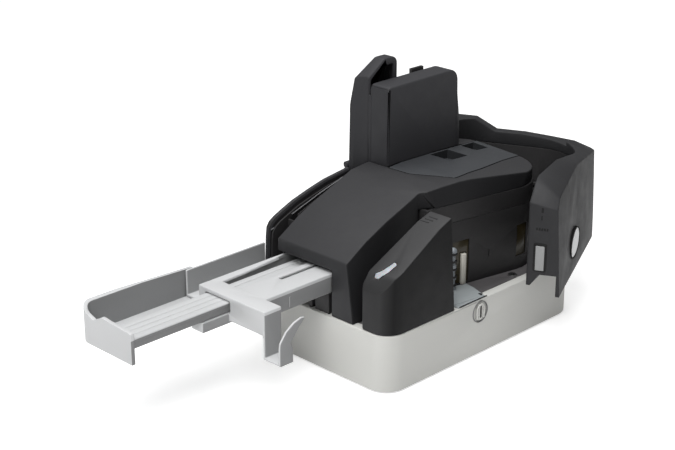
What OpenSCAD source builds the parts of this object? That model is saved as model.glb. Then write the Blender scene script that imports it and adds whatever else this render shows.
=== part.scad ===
/* [Base] */
// Width of the base from side to side
base_w = 124; // [122:1:136]
// Length of the base from front to back
base_l = 190; // [186:1:206]
// Height of the base tub
base_h = 39; // [34:1:48]
// Radius of the upright corners of the base
base_r = 15; // [11:1:18]
// Wall thickness of the base tub
base_wall = 2.5; // [2:0.25:3.5]
// Width of the rim round the top of the tub
rim_w = 7; // [6:0.5:8]
// Thickness of the rim
rim_t = 3; // [2.5:0.25:4]
// Thickness of the deck inside the rim
deck_t = 2.6; // [2:0.2:2.8]
// Thickness of the steel bottom plate
plate_t = 1.5; // [1:0.1:2]
// Diameter of a rubber foot
foot_d = 13; // [9:1:16]
// How far the rubber feet stand below the tub
foot_proud = 1; // [0.6:0.1:2]
// Diameter of the screw shanks
screw_d = 3; // [2.5:0.5:4]
// Diameter of the screw heads
screw_head_d = 6; // [5:0.5:7]

/* [Main cover] */
// Distance from the right side of the base to the foot of the cover
cover_inset = 30.75; // [30:0.25:34]
// How far the right flank leans inwards towards the top
cover_lean = 6; // [3:0.5:7]
// Wall thickness of the covers
cover_wall = 2; // [1.6:0.2:2.6]
// Height of the upright front face above the base
front_h = 39.8; // [38:0.5:44]
// Highest point of the cover above the base
cover_h = 72.3; // [71:0.5:76]
// Height of the opening for the stacker above the base
mouth_h = 31.4; // [31:0.2:33]
// Width of the front leg to the right of the opening
leg_w = 19.5; // [15:0.5:22]
// Height of the core wall that the cheques run along
core_h = 46; // [44:0.5:48]
// Height of the band between the core wall and the cover
band_h = 12.6; // [10:0.4:14]

/* [Access panel] */
// Thickness of the panel in the top of the cover
panel_t = 1.6; // [1.2:0.2:2]
// Size of the front finger recess
recess_w = 18; // [15:0.5:18.5]
// Size of the rear finger recess
grip_w = 13.5; // [10:0.5:14.5]
// Depth of the finger recesses
recess_depth = 6; // [4:0.5:8]
// Gap round the panel
panel_gap = 0.4; // [0.3:0.1:0.6]

/* [Side pod] */
// Width of the pod at its front
pod_w = 24.5; // [22:0.5:25]
// Length of the pod from front to back
pod_l = 63.2; // [60:0.2:64]
// Height of the pod at its back
pod_h = 65.3; // [62:0.5:68]
// Height of the pod's upright front
pod_front_h = 27.5; // [24:0.5:32]

/* [Hopper] */
// Height of the inner housing above the base
housing_h = 126; // [110:1:134]
// Width of the inner housing
housing_w = 16.6; // [14:0.2:17]
// Length of the inner housing from front to back
housing_l = 75.8; // [72:0.4:78]
// Distance from the back of the base to the housing
housing_back = 27.9; // [26:0.1:30]
// Height of the outer post above the base
post_h = 139.8; // [136:0.2:148]
// Height of the knee where the post's top starts to slant
post_knee_h = 127.5; // [126:0.5:132]
// Length of the outer post from front to back
post_l = 33; // [30:0.5:34]
// Width of the gap that the cheques pass through
lane_gap = 1.2; // [1:0.1:1.8]
// Distance from the left side of the base to the lane
lane_inset = 23.7; // [23:0.1:25]
// Height of the pressure plate
pusher_h = 100; // [80:1:104]
// How far the pressure plate gives way
pusher_travel = 6; // [4:0.5:6.5]

/* [Rollers] */
// Diameter of the feed roller
feed_d = 16; // [13:0.5:17]
// Diameter of the drive rollers
drive_d = 14; // [11:0.5:15]
// Diameter of the pinch rollers
pinch_d = 8; // [6:0.5:9]
// Height of the roller sleeves
roller_h = 18; // [14:1:22]
// Diameter of the roller shafts
shaft_d = 4; // [3:0.5:5]
// Radial play of a shaft in its bore
shaft_play = 0.05; // [0.03:0.01:0.08]
// Diameter of the motor can
motor_d = 28; // [22:1:30]

/* [Hinged cover] */
// Angle at which the cover stands open
open_angle = 25.5; // [15:0.5:28]
// Distance of the hinge pin from the left side of the base
hinge_inset = 6.5; // [6:0.1:7.5]
// Distance of the hinge pin from the back of the base
hinge_back = 17; // [16:0.5:18]
// Diameter of the hinge pin
hinge_d = 4; // [3:0.5:4.5]
// Thickness of the cover's arm at its free end
arm_t = 22.25; // [19:0.25:22.5]
// Thickness of the cover behind the core
back_t = 9; // [8:0.5:10]
// Height of the cover's outer top edge above the base
arm_h = 66; // [62:0.5:69]
// Clearance between the hinged cover and the base
cover_play = 1; // [0.6:0.1:1.4]
// Width of the white latch
latch_w = 5.9; // [5:0.1:7]
// Height of the white latch
latch_h = 17; // [13:0.5:18]

/* [Trays] */
// How far the stacker's cross bar stands in front of the base
bar_reach = 68; // [62:1:76]
// Depth of the cross bar from front to back
bar_depth = 14; // [12:0.5:18]
// Height of the stacker's top above the base
stacker_h = 29; // [28:0.1:29.3]
// Height of the cross bar's skirt
bar_drop = 16; // [14:0.5:17]
// Wall thickness of the tray mouldings
tray_wall = 1.9; // [1.5:0.1:2]
// Width of the pocket that catches the cheques
hook_w = 13.4; // [11:0.2:16]
// Depth of the pocket below the stacker's top
hook_drop = 31.7; // [28:0.5:32]
// How far the extension's end panel stands in front of the base
end_reach = 143.5; // [138:0.5:150]
// Height of the front fence above the base
fence_h = 34; // [32.4:0.2:36]
// Height of the rear fence above the base
rear_fence_h = 31; // [29:0.5:31.5]
// How far the rear fence stands in front of the base
rear_fence_reach = 62; // [56:1:64]
// Height of the tray floor above the base
floor_h = 14.6; // [13:0.2:15]
// Width of the extension's rail
rail_w = 21; // [17:0.5:21.5]
// Height of the extension's rail
rail_h = 7; // [5:0.2:7.4]
// How far the extension slides in
extension_travel = 47; // [30:1:47]
// How far the stacker slides in
stacker_travel = 46; // [30:1:46]

/* [Hidden] */

// Levels and edges
top = foot_proud + base_h;
right = base_w / 2;
left = -base_w / 2;
front = -base_l / 2;
back = base_l / 2;
corner_steps = 8;
cut = 1;
fit = 0.2;

// Places of the mechanism, drawn on a base of this size, move with the base
drawn_w = 124;
drawn_l = 190;
function across(x) = x * base_w / drawn_w;
function along(y) = y * base_l / drawn_l;

function unit(v) = v / norm(v);
function turned(v, a) = [v[0] * cos(a) - v[1] * sin(a), v[0] * sin(a) + v[1] * cos(a)];
function cross_of(a, b) = a[0] * b[1] - a[1] * b[0];
function outward(a, b) = let (d = unit(b - a)) [d[1], -d[0]];
function meet(p, d, q, e) = p + d * (cross_of(q - p, e) / cross_of(d, e));
function before(list, i) = list[(i + len(list) - 1) % len(list)];
function after(list, i) = list[(i + 1) % len(list)];
function convex(pts, i) = cross_of(pts[i] - before(pts, i), after(pts, i) - pts[i]) > 0;

// Outline moved inwards by a gap, edge by edge
function inset(pts, gap) = [for (i = [0 : len(pts) - 1])
    let (a = before(pts, i), b = pts[i], c = after(pts, i))
    meet(b - outward(a, b) * gap, b - a, b - outward(b, c) * gap, c - b)];

// Arc that rounds the corner b between its neighbours
function corner(a, b, c, r) = r <= 0 ? [b] :
    let (u = unit(a - b), v = unit(c - b), half = acos(u * v) / 2,
        centre = b + unit(u + v) * (r / sin(half)),
        start = b + u * (r / tan(half)) - centre,
        sweep = (180 - 2 * half) * (cross_of(u, v) < 0 ? 1 : -1))
    [for (k = [0 : corner_steps]) centre + turned(start, sweep * k / corner_steps)];

function rounded(pts, radii) = [for (i = [0 : len(pts) - 1])
    each corner(before(pts, i), pts[i], after(pts, i), radii[i])];

// Outline with rounded corners, moved inwards by a gap
module plan(pts, radii, gap = 0) {
    inner = inset(pts, gap);
    polygon(rounded(inner, [for (i = [0 : len(pts) - 1])
        radii[i] == 0 ? 0 : convex(pts, i) ? max(radii[i] - gap, 0.3) : radii[i] + gap]));
}

module slab(z, h) translate([0, 0, z]) linear_extrude(h) children();

module block(x0, x1, y0, y1, z0, z1) translate([x0, y0, z0]) cube([x1 - x0, y1 - y0, z1 - z0]);

module rod(x, y, z0, z1, d) translate([x, y, z0]) cylinder(h = z1 - z0, d = d, $fn = 48);

// Outline in Y and Z, drawn out along X
module side_profile(pts, x0, x1) translate([x0, 0, 0]) rotate([90, 0, 90])
    linear_extrude(x1 - x0) polygon(pts);

// Outline in Y and Z with rounded corners, moved inwards by a gap
module side_plan(pts, radii, gap, x0, x1) translate([x0, 0, 0]) rotate([90, 0, 90])
    linear_extrude(x1 - x0) plan(pts, radii, gap);

// Outline in X and Z, drawn out along Y
module front_profile(pts, y0, y1) translate([0, y1, 0]) rotate([90, 0, 0])
    linear_extrude(y1 - y0) polygon(pts);

// Base
base_points = [[left, front], [right, front], [right, back], [left, back]];
base_radii = [base_r, base_r, base_r, base_r];
plate_z = foot_proud;
ledge_z = plate_z + plate_t;
ledge_t = 1.5;
shelf_w = 2;
shelf_t = 1.6;
deck_z = top - rim_t;
deck_top = deck_z + deck_t;
boss_d = 7;
boss_reach = base_r - base_wall - boss_d / 2 + 0.8;
boss_in = base_r - boss_reach / sqrt(2);
boss_places = [for (sx = [-1, 1], sy = [-1, 1]) [sx * (right - boss_in), sy * (back - boss_in)]];
deck_screw_places = [[left + 18.5, along(-45)], [left + 17, back - hinge_back - 8],
    [right - 11.5, along(-45)], [right - 11.5, along(40.2)]];
foot_in = base_r + 4;
foot_places = [for (sx = [-1, 1], sy = [-1, 1]) [sx * (right - foot_in), sy * (back - foot_in)]];
foot_seat = 0.8;
head_t = 0.8;

// Sockets and switch in the back of the tub
socket_z = foot_proud + 14;
inlet_x = across(40);
inlet_d = 9;
usb_x = across(20);
usb_w = 12;
usb_h = 11;
switch_x = across(-20);
switch_w = 14;
switch_h = 19;
switch_z = foot_proud + 18;
switch_pivot_y = back - base_wall - 1.5;

// Round knob in the right side of the tub
knob_y = along(-6.3);
knob_z = foot_proud + 30.2;
knob_d = 14;
collar_d = knob_d + 1.6;
collar_t = 1.6;

module ring(pts, radii, outer, inner) difference() {
    plan(pts, radii, outer);
    plan(pts, radii, inner);
}

module tub_post(x, y, wall_x) {
    rod(x, y, ledge_z + ledge_t, deck_z, boss_d);
    block(min(x, wall_x), max(x, wall_x), y - 1, y + 1, ledge_z + ledge_t, deck_z);
}

module base_tub() color("gainsboro") difference() {
    union() {
        slab(plate_z, base_h) ring(base_points, base_radii, 0, base_wall);
        slab(deck_z, rim_t) ring(base_points, base_radii, base_wall / 2, rim_w);
        slab(deck_z - shelf_t, shelf_t) ring(base_points, base_radii, base_wall / 2, rim_w + shelf_w);
        slab(ledge_z, ledge_t) ring(base_points, base_radii, base_wall / 2, base_wall + shelf_w);
        for (p = boss_places) rod(p[0], p[1], ledge_z, deck_z, boss_d);
        for (p = deck_screw_places) tub_post(p[0], p[1], sign(p[0]) * (right - base_wall / 2));
    }
    for (p = boss_places) rod(p[0], p[1], ledge_z - cut, ledge_z + 9, screw_d - 0.4);
    for (p = deck_screw_places) rod(p[0], p[1], deck_z - 9, deck_z + cut, screw_d - 0.4);
    translate([inlet_x, back + cut, socket_z]) rotate([90, 0, 0])
        cylinder(h = base_wall + 2 * cut, d = inlet_d + 2 * fit, $fn = 48);
    block(usb_x - usb_w / 2 - fit, usb_x + usb_w / 2 + fit, back - base_wall - cut, back + cut,
        socket_z - usb_h / 2 - fit, socket_z + usb_h / 2 + fit);
    block(switch_x - switch_w / 2 - fit, switch_x + switch_w / 2 + fit, back - base_wall - cut,
        back + cut, switch_z - switch_h / 2 - fit, switch_z + switch_h / 2 + fit);
    translate([right - base_wall - cut, knob_y, knob_z]) rotate([0, 90, 0])
        cylinder(h = base_wall + 2 * cut, d = knob_d + 2 * fit, $fn = 64);
    translate([right - base_wall - collar_t - 2 * fit - cut, knob_y, knob_z]) rotate([0, 90, 0])
        cylinder(h = collar_t + 2 * fit + cut, d = collar_d + 2 * fit, $fn = 64);
}

vent_count = 9;
vent_pitch = 7;

// Main board, from its left front to its right back corner
board_x0 = left + 28;
board_x1 = right - 16;
board_y0 = -64;
board_y1 = 4;
board_z = ledge_z + ledge_t;
board_t = 1.6;
spacer_d = 6;

module bottom_plate() color("silver") difference() {
    union() {
        slab(plate_z, plate_t) plan(base_points, base_radii, base_wall + fit);
        for (x = [board_x0 + spacer_d, board_x1 - spacer_d], y = [board_y0 + spacer_d, board_y1 - spacer_d])
            rod(x, y, plate_z, board_z, spacer_d);
    }
    for (p = boss_places) rod(p[0], p[1], plate_z - cut, ledge_z + cut, screw_d + 2 * fit);
    for (p = foot_places) rod(p[0], p[1], plate_z - cut, plate_z + foot_seat, foot_d);
    for (i = [0 : vent_count - 1])
        block(-20, 20, (i - (vent_count - 1) / 2) * vent_pitch - 1,
            (i - (vent_count - 1) / 2) * vent_pitch + 1, plate_z - cut, ledge_z + cut);
}

module bottom_screws() color("dimgray") for (p = boss_places) {
    rod(p[0], p[1], plate_z - head_t, plate_z, screw_head_d);
    rod(p[0], p[1], plate_z - cut / 2, ledge_z + 8, screw_d - 0.4);
}

module rubber_feet() color("black") for (p = foot_places)
    rod(p[0], p[1], plate_z - foot_proud, plate_z + foot_seat, foot_d);

// Path of the cheques
lane_left = left + lane_inset;
lane_right = lane_left + lane_gap;
path_start = along(-25);
path_slope = 0.193;
core_gap = 0.3;
core_t = 2;
core_left = lane_right + core_gap;
core_front = along(-6);
core_back = back - 14;
mouth_right = right - cover_inset - leg_w;
function core_x(y) = right - cover_inset + path_slope * (y - path_start);
core_points = [[core_left, core_front], [mouth_right + 1.25, core_front],
    [mouth_right + 1.25, path_start - 1], [core_x(path_start - 1), path_start - 1],
    [core_x(core_back), core_back], [core_left, core_back]];
core_corner = 26;
core_radii = [0, 0, 0, 0, core_corner, 20];
chassis_t = 1.2;
lip_t = 1;
chassis_z = top + core_h - chassis_t;
band_top = top + core_h + band_h;

// Rollers in the core and opposite it
feed_y = along(50);
pickup_y = along(24);
roller_z = top + 14;
feed_x = lane_right - 0.1 + feed_d / 2;
drive_y = core_back + 0.6 - drive_d / 2;
drive_left_x = across(-15);
drive_right_x = across(15);
core_roller_places = [[feed_x, pickup_y, feed_d], [feed_x, feed_y, feed_d],
    [drive_left_x, drive_y, drive_d], [drive_right_x, drive_y, drive_d]];
separation_d = 12;
separation_x = lane_left + 0.1 - separation_d / 2;
pinch_y = core_back + 1.4 + pinch_d / 2;
pulley_d = 12;
pulley_t = 5;
flange_t = 0.6;
pulley_z = deck_z - shelf_t - 1 - pulley_t;
motor_x = across(-4);
motor_y = along(28);
standoff_d = 5;
standoff_places = [[motor_x - 8, motor_y + 9], [motor_x + 9, motor_y - 8]];
backing_y = core_front + 11;
backing_d = 4.2;
backing_h = 22;
backing_x = core_x(backing_y) - 0.6;
backing_shaft = 2.4;
backing_gap = backing_d / 2 + 2 * fit;

// Floor plate and posts of the exit
exit_plate_t = 0.8;
exit_play = 1.4;
exit_front = front + pod_l + 3.8;
exit_points = [[core_x(exit_front) + exit_play, exit_front], [right - 0.8, exit_front],
    [right - 0.8, core_front + 4.8], [backing_x + 12, core_front + 9.6],
    [backing_x + 2.8, core_front + 11.4], [backing_x + 2.8, core_front + 8.2],
    [core_x(core_front + 6) + exit_play, core_front + 6]];
// Groove beside the rim and slot near the tip, as their corners
exit_groove = [[right - 5.9, exit_front - 1], [right - 5.2, exit_front - 1], [right - 1.9, core_front + 1.4],
    [right - 2.3, core_front + 1.8]];
exit_slot = [[right - 6.8, core_front + 4.6], [right - 2.8, core_front + 3.3], [right - 3, core_front + 4.6],
    [right - 6.6, core_front + 5.6]];

// Pin of the hinged cover
hinge_x = left + hinge_inset;
hinge_y = back - hinge_back;
boss_h = 6;

module deck() color("#2b2b2d") difference() {
    union() {
        slab(deck_z, deck_t) plan(base_points, base_radii, rim_w + fit);
        for (p = core_roller_places) rod(p[0], p[1], deck_z - shelf_t, deck_z + cut, shaft_d + 5);
        for (p = standoff_places) rod(p[0], p[1], motor_top, deck_z + cut, standoff_d);
    }
    for (p = deck_screw_places) rod(p[0], p[1], deck_z - cut, deck_top + cut, screw_d + 2 * fit);
    for (p = core_roller_places)
        rod(p[0], p[1], deck_z - shelf_t - cut, deck_top + cut, shaft_d + 2 * shaft_play);
    rod(backing_x, backing_y, deck_z - cut, deck_top + cut, backing_shaft + 2 * shaft_play);
}

module deck_screws() color("silver") for (p = deck_screw_places) {
    difference() {
        rod(p[0], p[1], deck_top, deck_top + head_t, screw_head_d);
        block(p[0] - 2, p[0] + 2, p[1] - 0.4, p[1] + 0.4, deck_top + 0.4, deck_top + 3);
        block(p[0] - 0.4, p[0] + 0.4, p[1] - 2, p[1] + 2, deck_top + 0.4, deck_top + 3);
    }
    rod(p[0], p[1], deck_z - 8, deck_top + head_t / 4, screw_d - 0.4);
}

// Amber scan windows, as their two ends along the wall and their two heights
glass_t = 1;
front_window = [core_front + 1.5, backing_y + backing_gap + 1.6, 1, 31.5];
rear_window = [core_back - 31.5, core_back - 21.5, 9, 32];
head_window = [path_start + 4, path_start + 12, 8, 20];
slit_y = along(26);
slit_z = [15, 20];
wall_angle = -atan(path_slope);

// Frame that runs along the slanted wall: local Y follows the wall, local X points outwards
module along_wall(y) translate([core_x(y), y, top]) rotate([0, 0, wall_angle]) children();

module wall_box(w, x0, x1, grow = 0) along_wall(w[0])
    block(x0, x1, -grow, (w[1] - w[0]) / cos(wall_angle) + grow, w[2] - grow, w[3] + grow);

module core_wall() color("#202022") difference() {
    union() {
        slab(deck_top, chassis_z - deck_top) ring(core_points, core_radii, 0, core_t);
        slab(chassis_z - 0.1, chassis_t - fit + 0.1) ring(core_points, core_radii, 0, lip_t);
    }
    wall_box(front_window, -core_t - cut, cut);
    wall_box(rear_window, -3 * core_t, cut);
    wall_box(head_window, -core_t - cut, cut);
    for (p = core_roller_places)
        rod(p[0], p[1], roller_z - 0.8, roller_z + roller_h + 0.8, p[2] + 2);
    along_wall(backing_y)
        block(-core_t - cut, cut, -backing_gap, backing_gap, deck_top - top - cut, front_window[2] + cut);
    along_wall(slit_y) block(-core_t - cut, cut, -0.4, 0.4, slit_z[0], slit_z[1]);
}

module scan_glass(w) color("#5c4312", 0.8) intersection() {
    slab(top, core_h) ring(core_points, core_radii, core_t - fit - glass_t, core_t - fit);
    wall_box(w, -core_t - 3, cut, -fit / 2);
}

// The front window reaches round the top of the backing roller
module scan_glass_front() difference() {
    scan_glass(front_window);
    along_wall(backing_y) block(-core_t - 3, cut, -backing_gap, backing_gap, 0, backing_h + 2 * fit);
}
module scan_glass_rear() scan_glass(rear_window);

sensor_t = 9;
sensor_h = 38;
front_sensor_l = 7.1;
rear_sensor_l = 10;

module scan_sensor(w, length) color("#1b1b1d") difference() {
    intersection() {
        along_wall(w[0]) block(-core_t - sensor_t, 0, -1, length, 0, sensor_h);
        slab(top, core_h) plan(core_points, core_radii, core_t + fit);
    }
    along_wall(w[0]) block(-core_t - 5, cut, 4, 6.5, w[2], w[3]);
}

module scan_sensor_front() scan_sensor(front_window, front_sensor_l);
module scan_sensor_rear() scan_sensor(rear_window, rear_sensor_l);

reader_depth = 8;

module magnetic_head() color("silver") along_wall(head_window[0])
    block(-core_t - reader_depth, -fit, 1.5 * fit, head_window[1] - head_window[0] - fit,
        head_window[2] + 1.5 * fit, head_window[3] - 1.5 * fit);

module core_band() color("#2a2422") difference() {
    slab(top + core_h, band_h) ring(core_points, core_radii, 0, core_t);
    block(left, housing_right + fit, housing_y0, housing_y1 + fit, top + core_h - cut, band_top + cut);
}

module chassis_plate() color("silver") difference() {
    slab(chassis_z, chassis_t) plan(core_points, core_radii, lip_t + fit);
    for (p = core_roller_places)
        rod(p[0], p[1], chassis_z - cut, chassis_z + chassis_t + cut, shaft_d + 2 * shaft_play);
}

// Roller with its sleeve, shaft and lower pulley
module driven_roller(p, tint) {
    color(tint) difference() {
        rod(p[0], p[1], roller_z, roller_z + roller_h, p[2]);
        rod(p[0], p[1], roller_z - cut, roller_z + roller_h + cut, shaft_d);
    }
    color("silver") rod(p[0], p[1], pulley_z, chassis_z + chassis_t + 2, shaft_d);
    color("gray") difference() {
        union() {
            rod(p[0], p[1], pulley_z, pulley_z + pulley_t, pulley_d - 2);
            for (z = [pulley_z, pulley_z + pulley_t - flange_t])
                rod(p[0], p[1], z, z + flange_t, pulley_d);
        }
        rod(p[0], p[1], pulley_z - cut, pulley_z + pulley_t + cut, shaft_d);
    }
}

module pickup_roller() driven_roller(core_roller_places[0], "#3a3a3c");
module feed_roller() driven_roller(core_roller_places[1], "#3a3a3c");
module drive_roller_left() driven_roller(core_roller_places[2], "#55504a");
module drive_roller_right() driven_roller(core_roller_places[3], "#55504a");

// Motor under the deck
motor_l = 20;
motor_top = pulley_z - 2;
motor_shaft = 3;

module main_motor() color("silver") difference() {
    union() {
        rod(motor_x, motor_y, motor_top - motor_l, motor_top, motor_d);
        rod(motor_x, motor_y, motor_top - cut, motor_top + 1, 8);
    }
    rod(motor_x, motor_y, motor_top - 12, motor_top + 2, motor_shaft + 2 * shaft_play);
}

module motor_pulley() color("gray") {
    rod(motor_x, motor_y, motor_top - 11, pulley_z + pulley_t, motor_shaft);
    rod(motor_x, motor_y, pulley_z, pulley_z + pulley_t, pulley_d - 2);
    for (z = [pulley_z, pulley_z + pulley_t - flange_t])
        rod(motor_x, motor_y, z, z + flange_t, pulley_d);
}

// Main cover
cover_left = lane_right - 0.4;
cover_front = front + 1;
cover_back = core_back + 1;
cover_right = right - cover_inset;
step_y = path_start - 3;
// Top line of the cover: distance from the base's front and height above the base
top_line = [[1, front_h], [along(19.5), front_h + 10.8], [along(37.5), front_h + 18.7],
    [along(56), front_h + 25.5], [along(68), cover_h - 2.1], [along(84), cover_h - 0.7],
    [along(98), cover_h], [along(130), cover_h - 0.8], [along(160), cover_h - 2.2],
    [cover_back - front + 1, cover_h - 3]];
function line_at(h) = [for (p = top_line) [front + p[0], top + p[1] + h]];
lean_angle = atan(3 / 14);
notch = 9;
rear_points = [[cover_left, front + 40], [cover_right - cover_lean, front + 40],
    [cover_right - cover_lean, step_y], [core_x(step_y + notch), step_y + notch],
    [core_x(cover_back) + 0.2, cover_back], [cover_left, cover_back]];
rear_radii = [0, 0, 0, 3, core_corner + 3, 21];

// Everything below a plane through a point, with its slopes along X and Y
module below(p, slope_x, slope_y) {
    tilt = -atan(slope_x);
    translate(p) rotate([atan(slope_y * cos(tilt)), tilt, 0]) block(-200, 200, -250, 250, -150, 0);
}

top_fall_x = -0.05;
top_fall_y = -0.08;

// Everything below the top of the cover, which falls slightly to the right and to the back
module below_top(depth) intersection() {
    side_profile(concat([[cover_front, top - 5]], line_at(-depth), [[cover_back + 1, top - 5]]),
        left, right);
    below([10, 34, top + cover_h - 0.7 - depth], top_fall_x, top_fall_y);
}

module cover_solid(g) intersection() {
    below_top(g);
    block(left, right, cover_front + g, cover_back - g, g > 0 ? top - cut : top, top + 90);
    union() {
        front_profile([[cover_left + g, top - 2 * cut], [cover_right - g, top - 2 * cut],
            [cover_right - cover_lean - g, top + front_h], [cover_right - cover_lean - g, top + 90],
            [cover_left + g, top + 90]], cover_front, step_y + (g > 0 ? 6 : 0));
        difference() {
            slab(band_top - g, 60) plan(rear_points, rear_radii, g);
            translate([core_x(step_y), step_y, band_top]) rotate([0, 0, wall_angle])
                rotate([0, -lean_angle, 0]) block(-g, 30, 4, 180, -5, 60);
        }
    }
}

housing_left = lane_right;
housing_right = housing_left + housing_w;
housing_y1 = back - along(housing_back);
housing_y0 = housing_y1 - housing_l;

// Outline of the access panel, seen from above
panel_left = housing_right + 1.2;
panel_front = core_front - 2.8;
panel_points = [[panel_left, panel_front], [panel_left + 5.3, panel_front],
    [panel_left + 18.3, panel_front + 0.6], [cover_right - 4.65, panel_front + 14.6],
    [cover_right - 7.05, along(34)], [cover_right - 11.55, along(62.4)],
    [cover_right - 12.85, cover_back + 1], [panel_left, cover_back + 1]];
panel_radii = [1, 0, 4, 2, 0, 0, 0, 0];
panel_lip = 2.5;

module main_cover() color("#37373a") difference() {
    cover_solid(0);
    difference() {
        cover_solid(cover_wall);
        // Ledge that carries the access panel
        difference() {
            intersection() {
                below_top(cover_wall - 0.1);
                slab(band_top, 60) ring(panel_points, panel_radii, -panel_gap - 2, panel_lip);
            }
            below_top(cover_wall + 1.6);
        }
    }
    for (r = [recess_front, recess_rear]) recess(r, recess_wall + fit);
    // Mouth for the stacker and the feed lane
    block(left, mouth_right, front, core_front, top - 3, top + mouth_h);
    block(left, core_left + core_t, front, step_y + 7, top - 3, top + mouth_h);
    // Opening for the hopper's inner housing
    block(left, housing_right + fit, housing_y0 - fit, housing_y1 + fit, top - 3, top + 90);
    difference() {
        slab(band_top, 60) plan(panel_points, panel_radii, -panel_gap);
        below_top(panel_t + 0.1);
    }
    intersection() {
        slab(band_top, 60) plan(panel_points, panel_radii, panel_lip);
        block(left, right, front, cover_back - 3, band_top, top + 90);
    }
}

// Finger recesses: centre and size of each
recess_front = [panel_left + 1.6 + recess_w / 2, core_back - 41, recess_w];
recess_rear = [panel_left + 1.4 + grip_w / 2, core_back - 11, grip_w];
recess_wall = 1.2;
scoop = 0.144;

module recess(r, grow) block(r[0] - r[2] / 2 - grow, r[0] + r[2] / 2 + grow, r[1] - r[2] / 2 - grow,
    r[1] + r[2] / 2 + grow, top, top + 90);

// Everything below the floor of a recess, which is deepest at its left rear corner
module below_scoop(r, depth) below([r[0] - r[2] / 2, r[1] + r[2] / 2, top + cover_h - 2 - depth],
    top_fall_x + scoop, top_fall_y - scoop);

module access_panel() color("#404447") difference() {
    union() {
        difference() {
            intersection() {
                below_top(0);
                slab(band_top, 60) plan(panel_points, panel_radii, 0);
                block(left, right, front, cover_back, top, top + 90);
            }
            below_top(panel_t);
        }
        for (r = [recess_front, recess_rear]) difference() {
            intersection() {
                recess(r, recess_wall);
                below_top(panel_t / 2);
            }
            below_scoop(r, recess_depth + recess_wall);
        }
    }
    for (r = [recess_front, recess_rear]) difference() {
        recess(r, 0);
        below_scoop(r, recess_depth);
    }
}

cartridge_w = 26;
cartridge_l = 40;
cartridge_h = 13;

module ink_cartridge() color("#303036")
translate([housing_right + 8.5, core_back - 65, chassis_z + chassis_t]) {
    difference() {
        block(0, cartridge_w, 0, cartridge_l, 0, cartridge_h);
        block(3, cartridge_w - 3, 3, 24, cartridge_h - 1, cartridge_h + cut);
    }
    block(8, cartridge_w - 8, cartridge_l, cartridge_l + 4, 0, cartridge_h - 5);
}

// Side pod
pod_left = right - pod_w;
pod_right = right - 0.3;
pod_front = front + 0.7;
pod_back = front + pod_l;
pod_radius = base_r - 1.5;
pod_points = [[pod_left, pod_front], [pod_right, pod_front], [pod_right, pod_back],
    [pod_left + path_slope * 34, pod_back]];
pod_radii = [3, pod_radius, 0, 0];
pod_line = [[0, pod_front_h], [7, pod_front_h + 10.5], [46, pod_h - 4.5], [pod_l - 6, pod_h]];

module pod_solid(g) intersection() {
    slab(top - g, 90) plan(pod_points, pod_radii, g);
    side_profile(concat([[pod_front, top - g - cut]],
        [for (p = pod_line) [pod_front + p[0], top + p[1] - g]], [[pod_back - g, top - g - cut]]),
        left, right + cut);
}

lens_t = 1.2;
// Curved band on the pod's sloping top, as distances from its right side and from its front
lens_band = [[17.2, 5.4], [13.4, 5.5], [11.2, 7.5], [9.6, 10.8], [8.5, 15.9], [9.8, 16.9], [11.3, 16.8],
    [12.6, 13.6], [14.4, 9.8], [16.2, 7.7], [17.5, 6.7]];

module lens_solid(g) intersection() {
    slab(top, 90) plan([for (p = lens_band) [pod_right - p[0], pod_front + p[1]]],
        [for (p = lens_band) 0], -g);
    difference() {
        pod_solid(g > 0 ? -cut : 0);
        pod_solid(lens_t);
    }
}

module side_pod() color("#2f3032") difference() {
    pod_solid(0);
    pod_solid(cover_wall);
    lens_solid(0.15);
}

module status_lens() color("white", 0.9) lens_solid(0);

module status_board() color("darkgreen") {
    block(right - 15, right - 14, pod_front + 5, pod_front + 15, top, top + pod_front_h + 2);
    block(right - 14, right - 12, pod_front + 6, pod_front + 9, top + pod_front_h - 3, top + pod_front_h);
}

// Feed channel along the left side
channel_left = left + 7;
channel_t = 3.2;
channel_front = front + 5.5;
post_y0 = along(-14);
post_y1 = post_y0 + post_l;
channel_end = 64.2;
channel_line = [[0, 20], [0.6, 35], [1.4, 41.3], [3.6, 44.5], [7.7, 47.1], [14.7, 50.1],
    [24.5, 54], [38.6, 57.9], [53, 61.3], [post_y0 - channel_front, channel_end]];
outer_back = back - 33;

module channel_wall() color("#1f1f21") side_profile(concat([[channel_front, top]],
    [for (p = channel_line) [channel_front + p[0], top + p[1]]], [[post_y0, top]]),
    channel_left, channel_left + channel_t);

guide_t = 1.2;
guide_x = channel_left + channel_t + 1.4;

module channel_guide() color("#2a2a2c") {
    side_profile(concat([[channel_front + 1, top]],
        [for (p = channel_line) [min(channel_front + 1 + p[0], post_y0 - 0.4), top + p[1] - 3]],
        [[post_y0 - 0.4, top]]), guide_x, guide_x + guide_t);
    for (y = [channel_front + 8 : 18 : post_y0 - 6])
        block(channel_left + channel_t, guide_x, y, y + 1.4, top, top + 36);
    // Leaf that presses the cheques towards the cover
    side_profile([[front + 22, top + 36], [front + 22, top + 50], [front + 56, top + 62],
        [front + 56, top + 36]], lane_left - 2.4, lane_left - 1.6);
    block(guide_x + guide_t, lane_left - 1.6, front + 22, front + 23.2, top + 36, top + 44);
}

ramp_t = 1.6;
ramp_end = along(-5);

module feed_ramp() color("#2a2a2c") difference() {
    side_profile([[channel_front + 2, top + floor_h - 0.4], [ramp_end, top + 2], [outer_back - 2, top + 2],
        [outer_back - 2, deck_top], [ramp_end - 8, deck_top],
        [channel_front + 2, top + floor_h - 0.4 - ramp_t]], guide_x + guide_t + fit, lane_right - fit);
    rod(separation_x, feed_y, deck_top - cut, top + 3, shaft_d + 2 * shaft_play);
}

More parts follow.
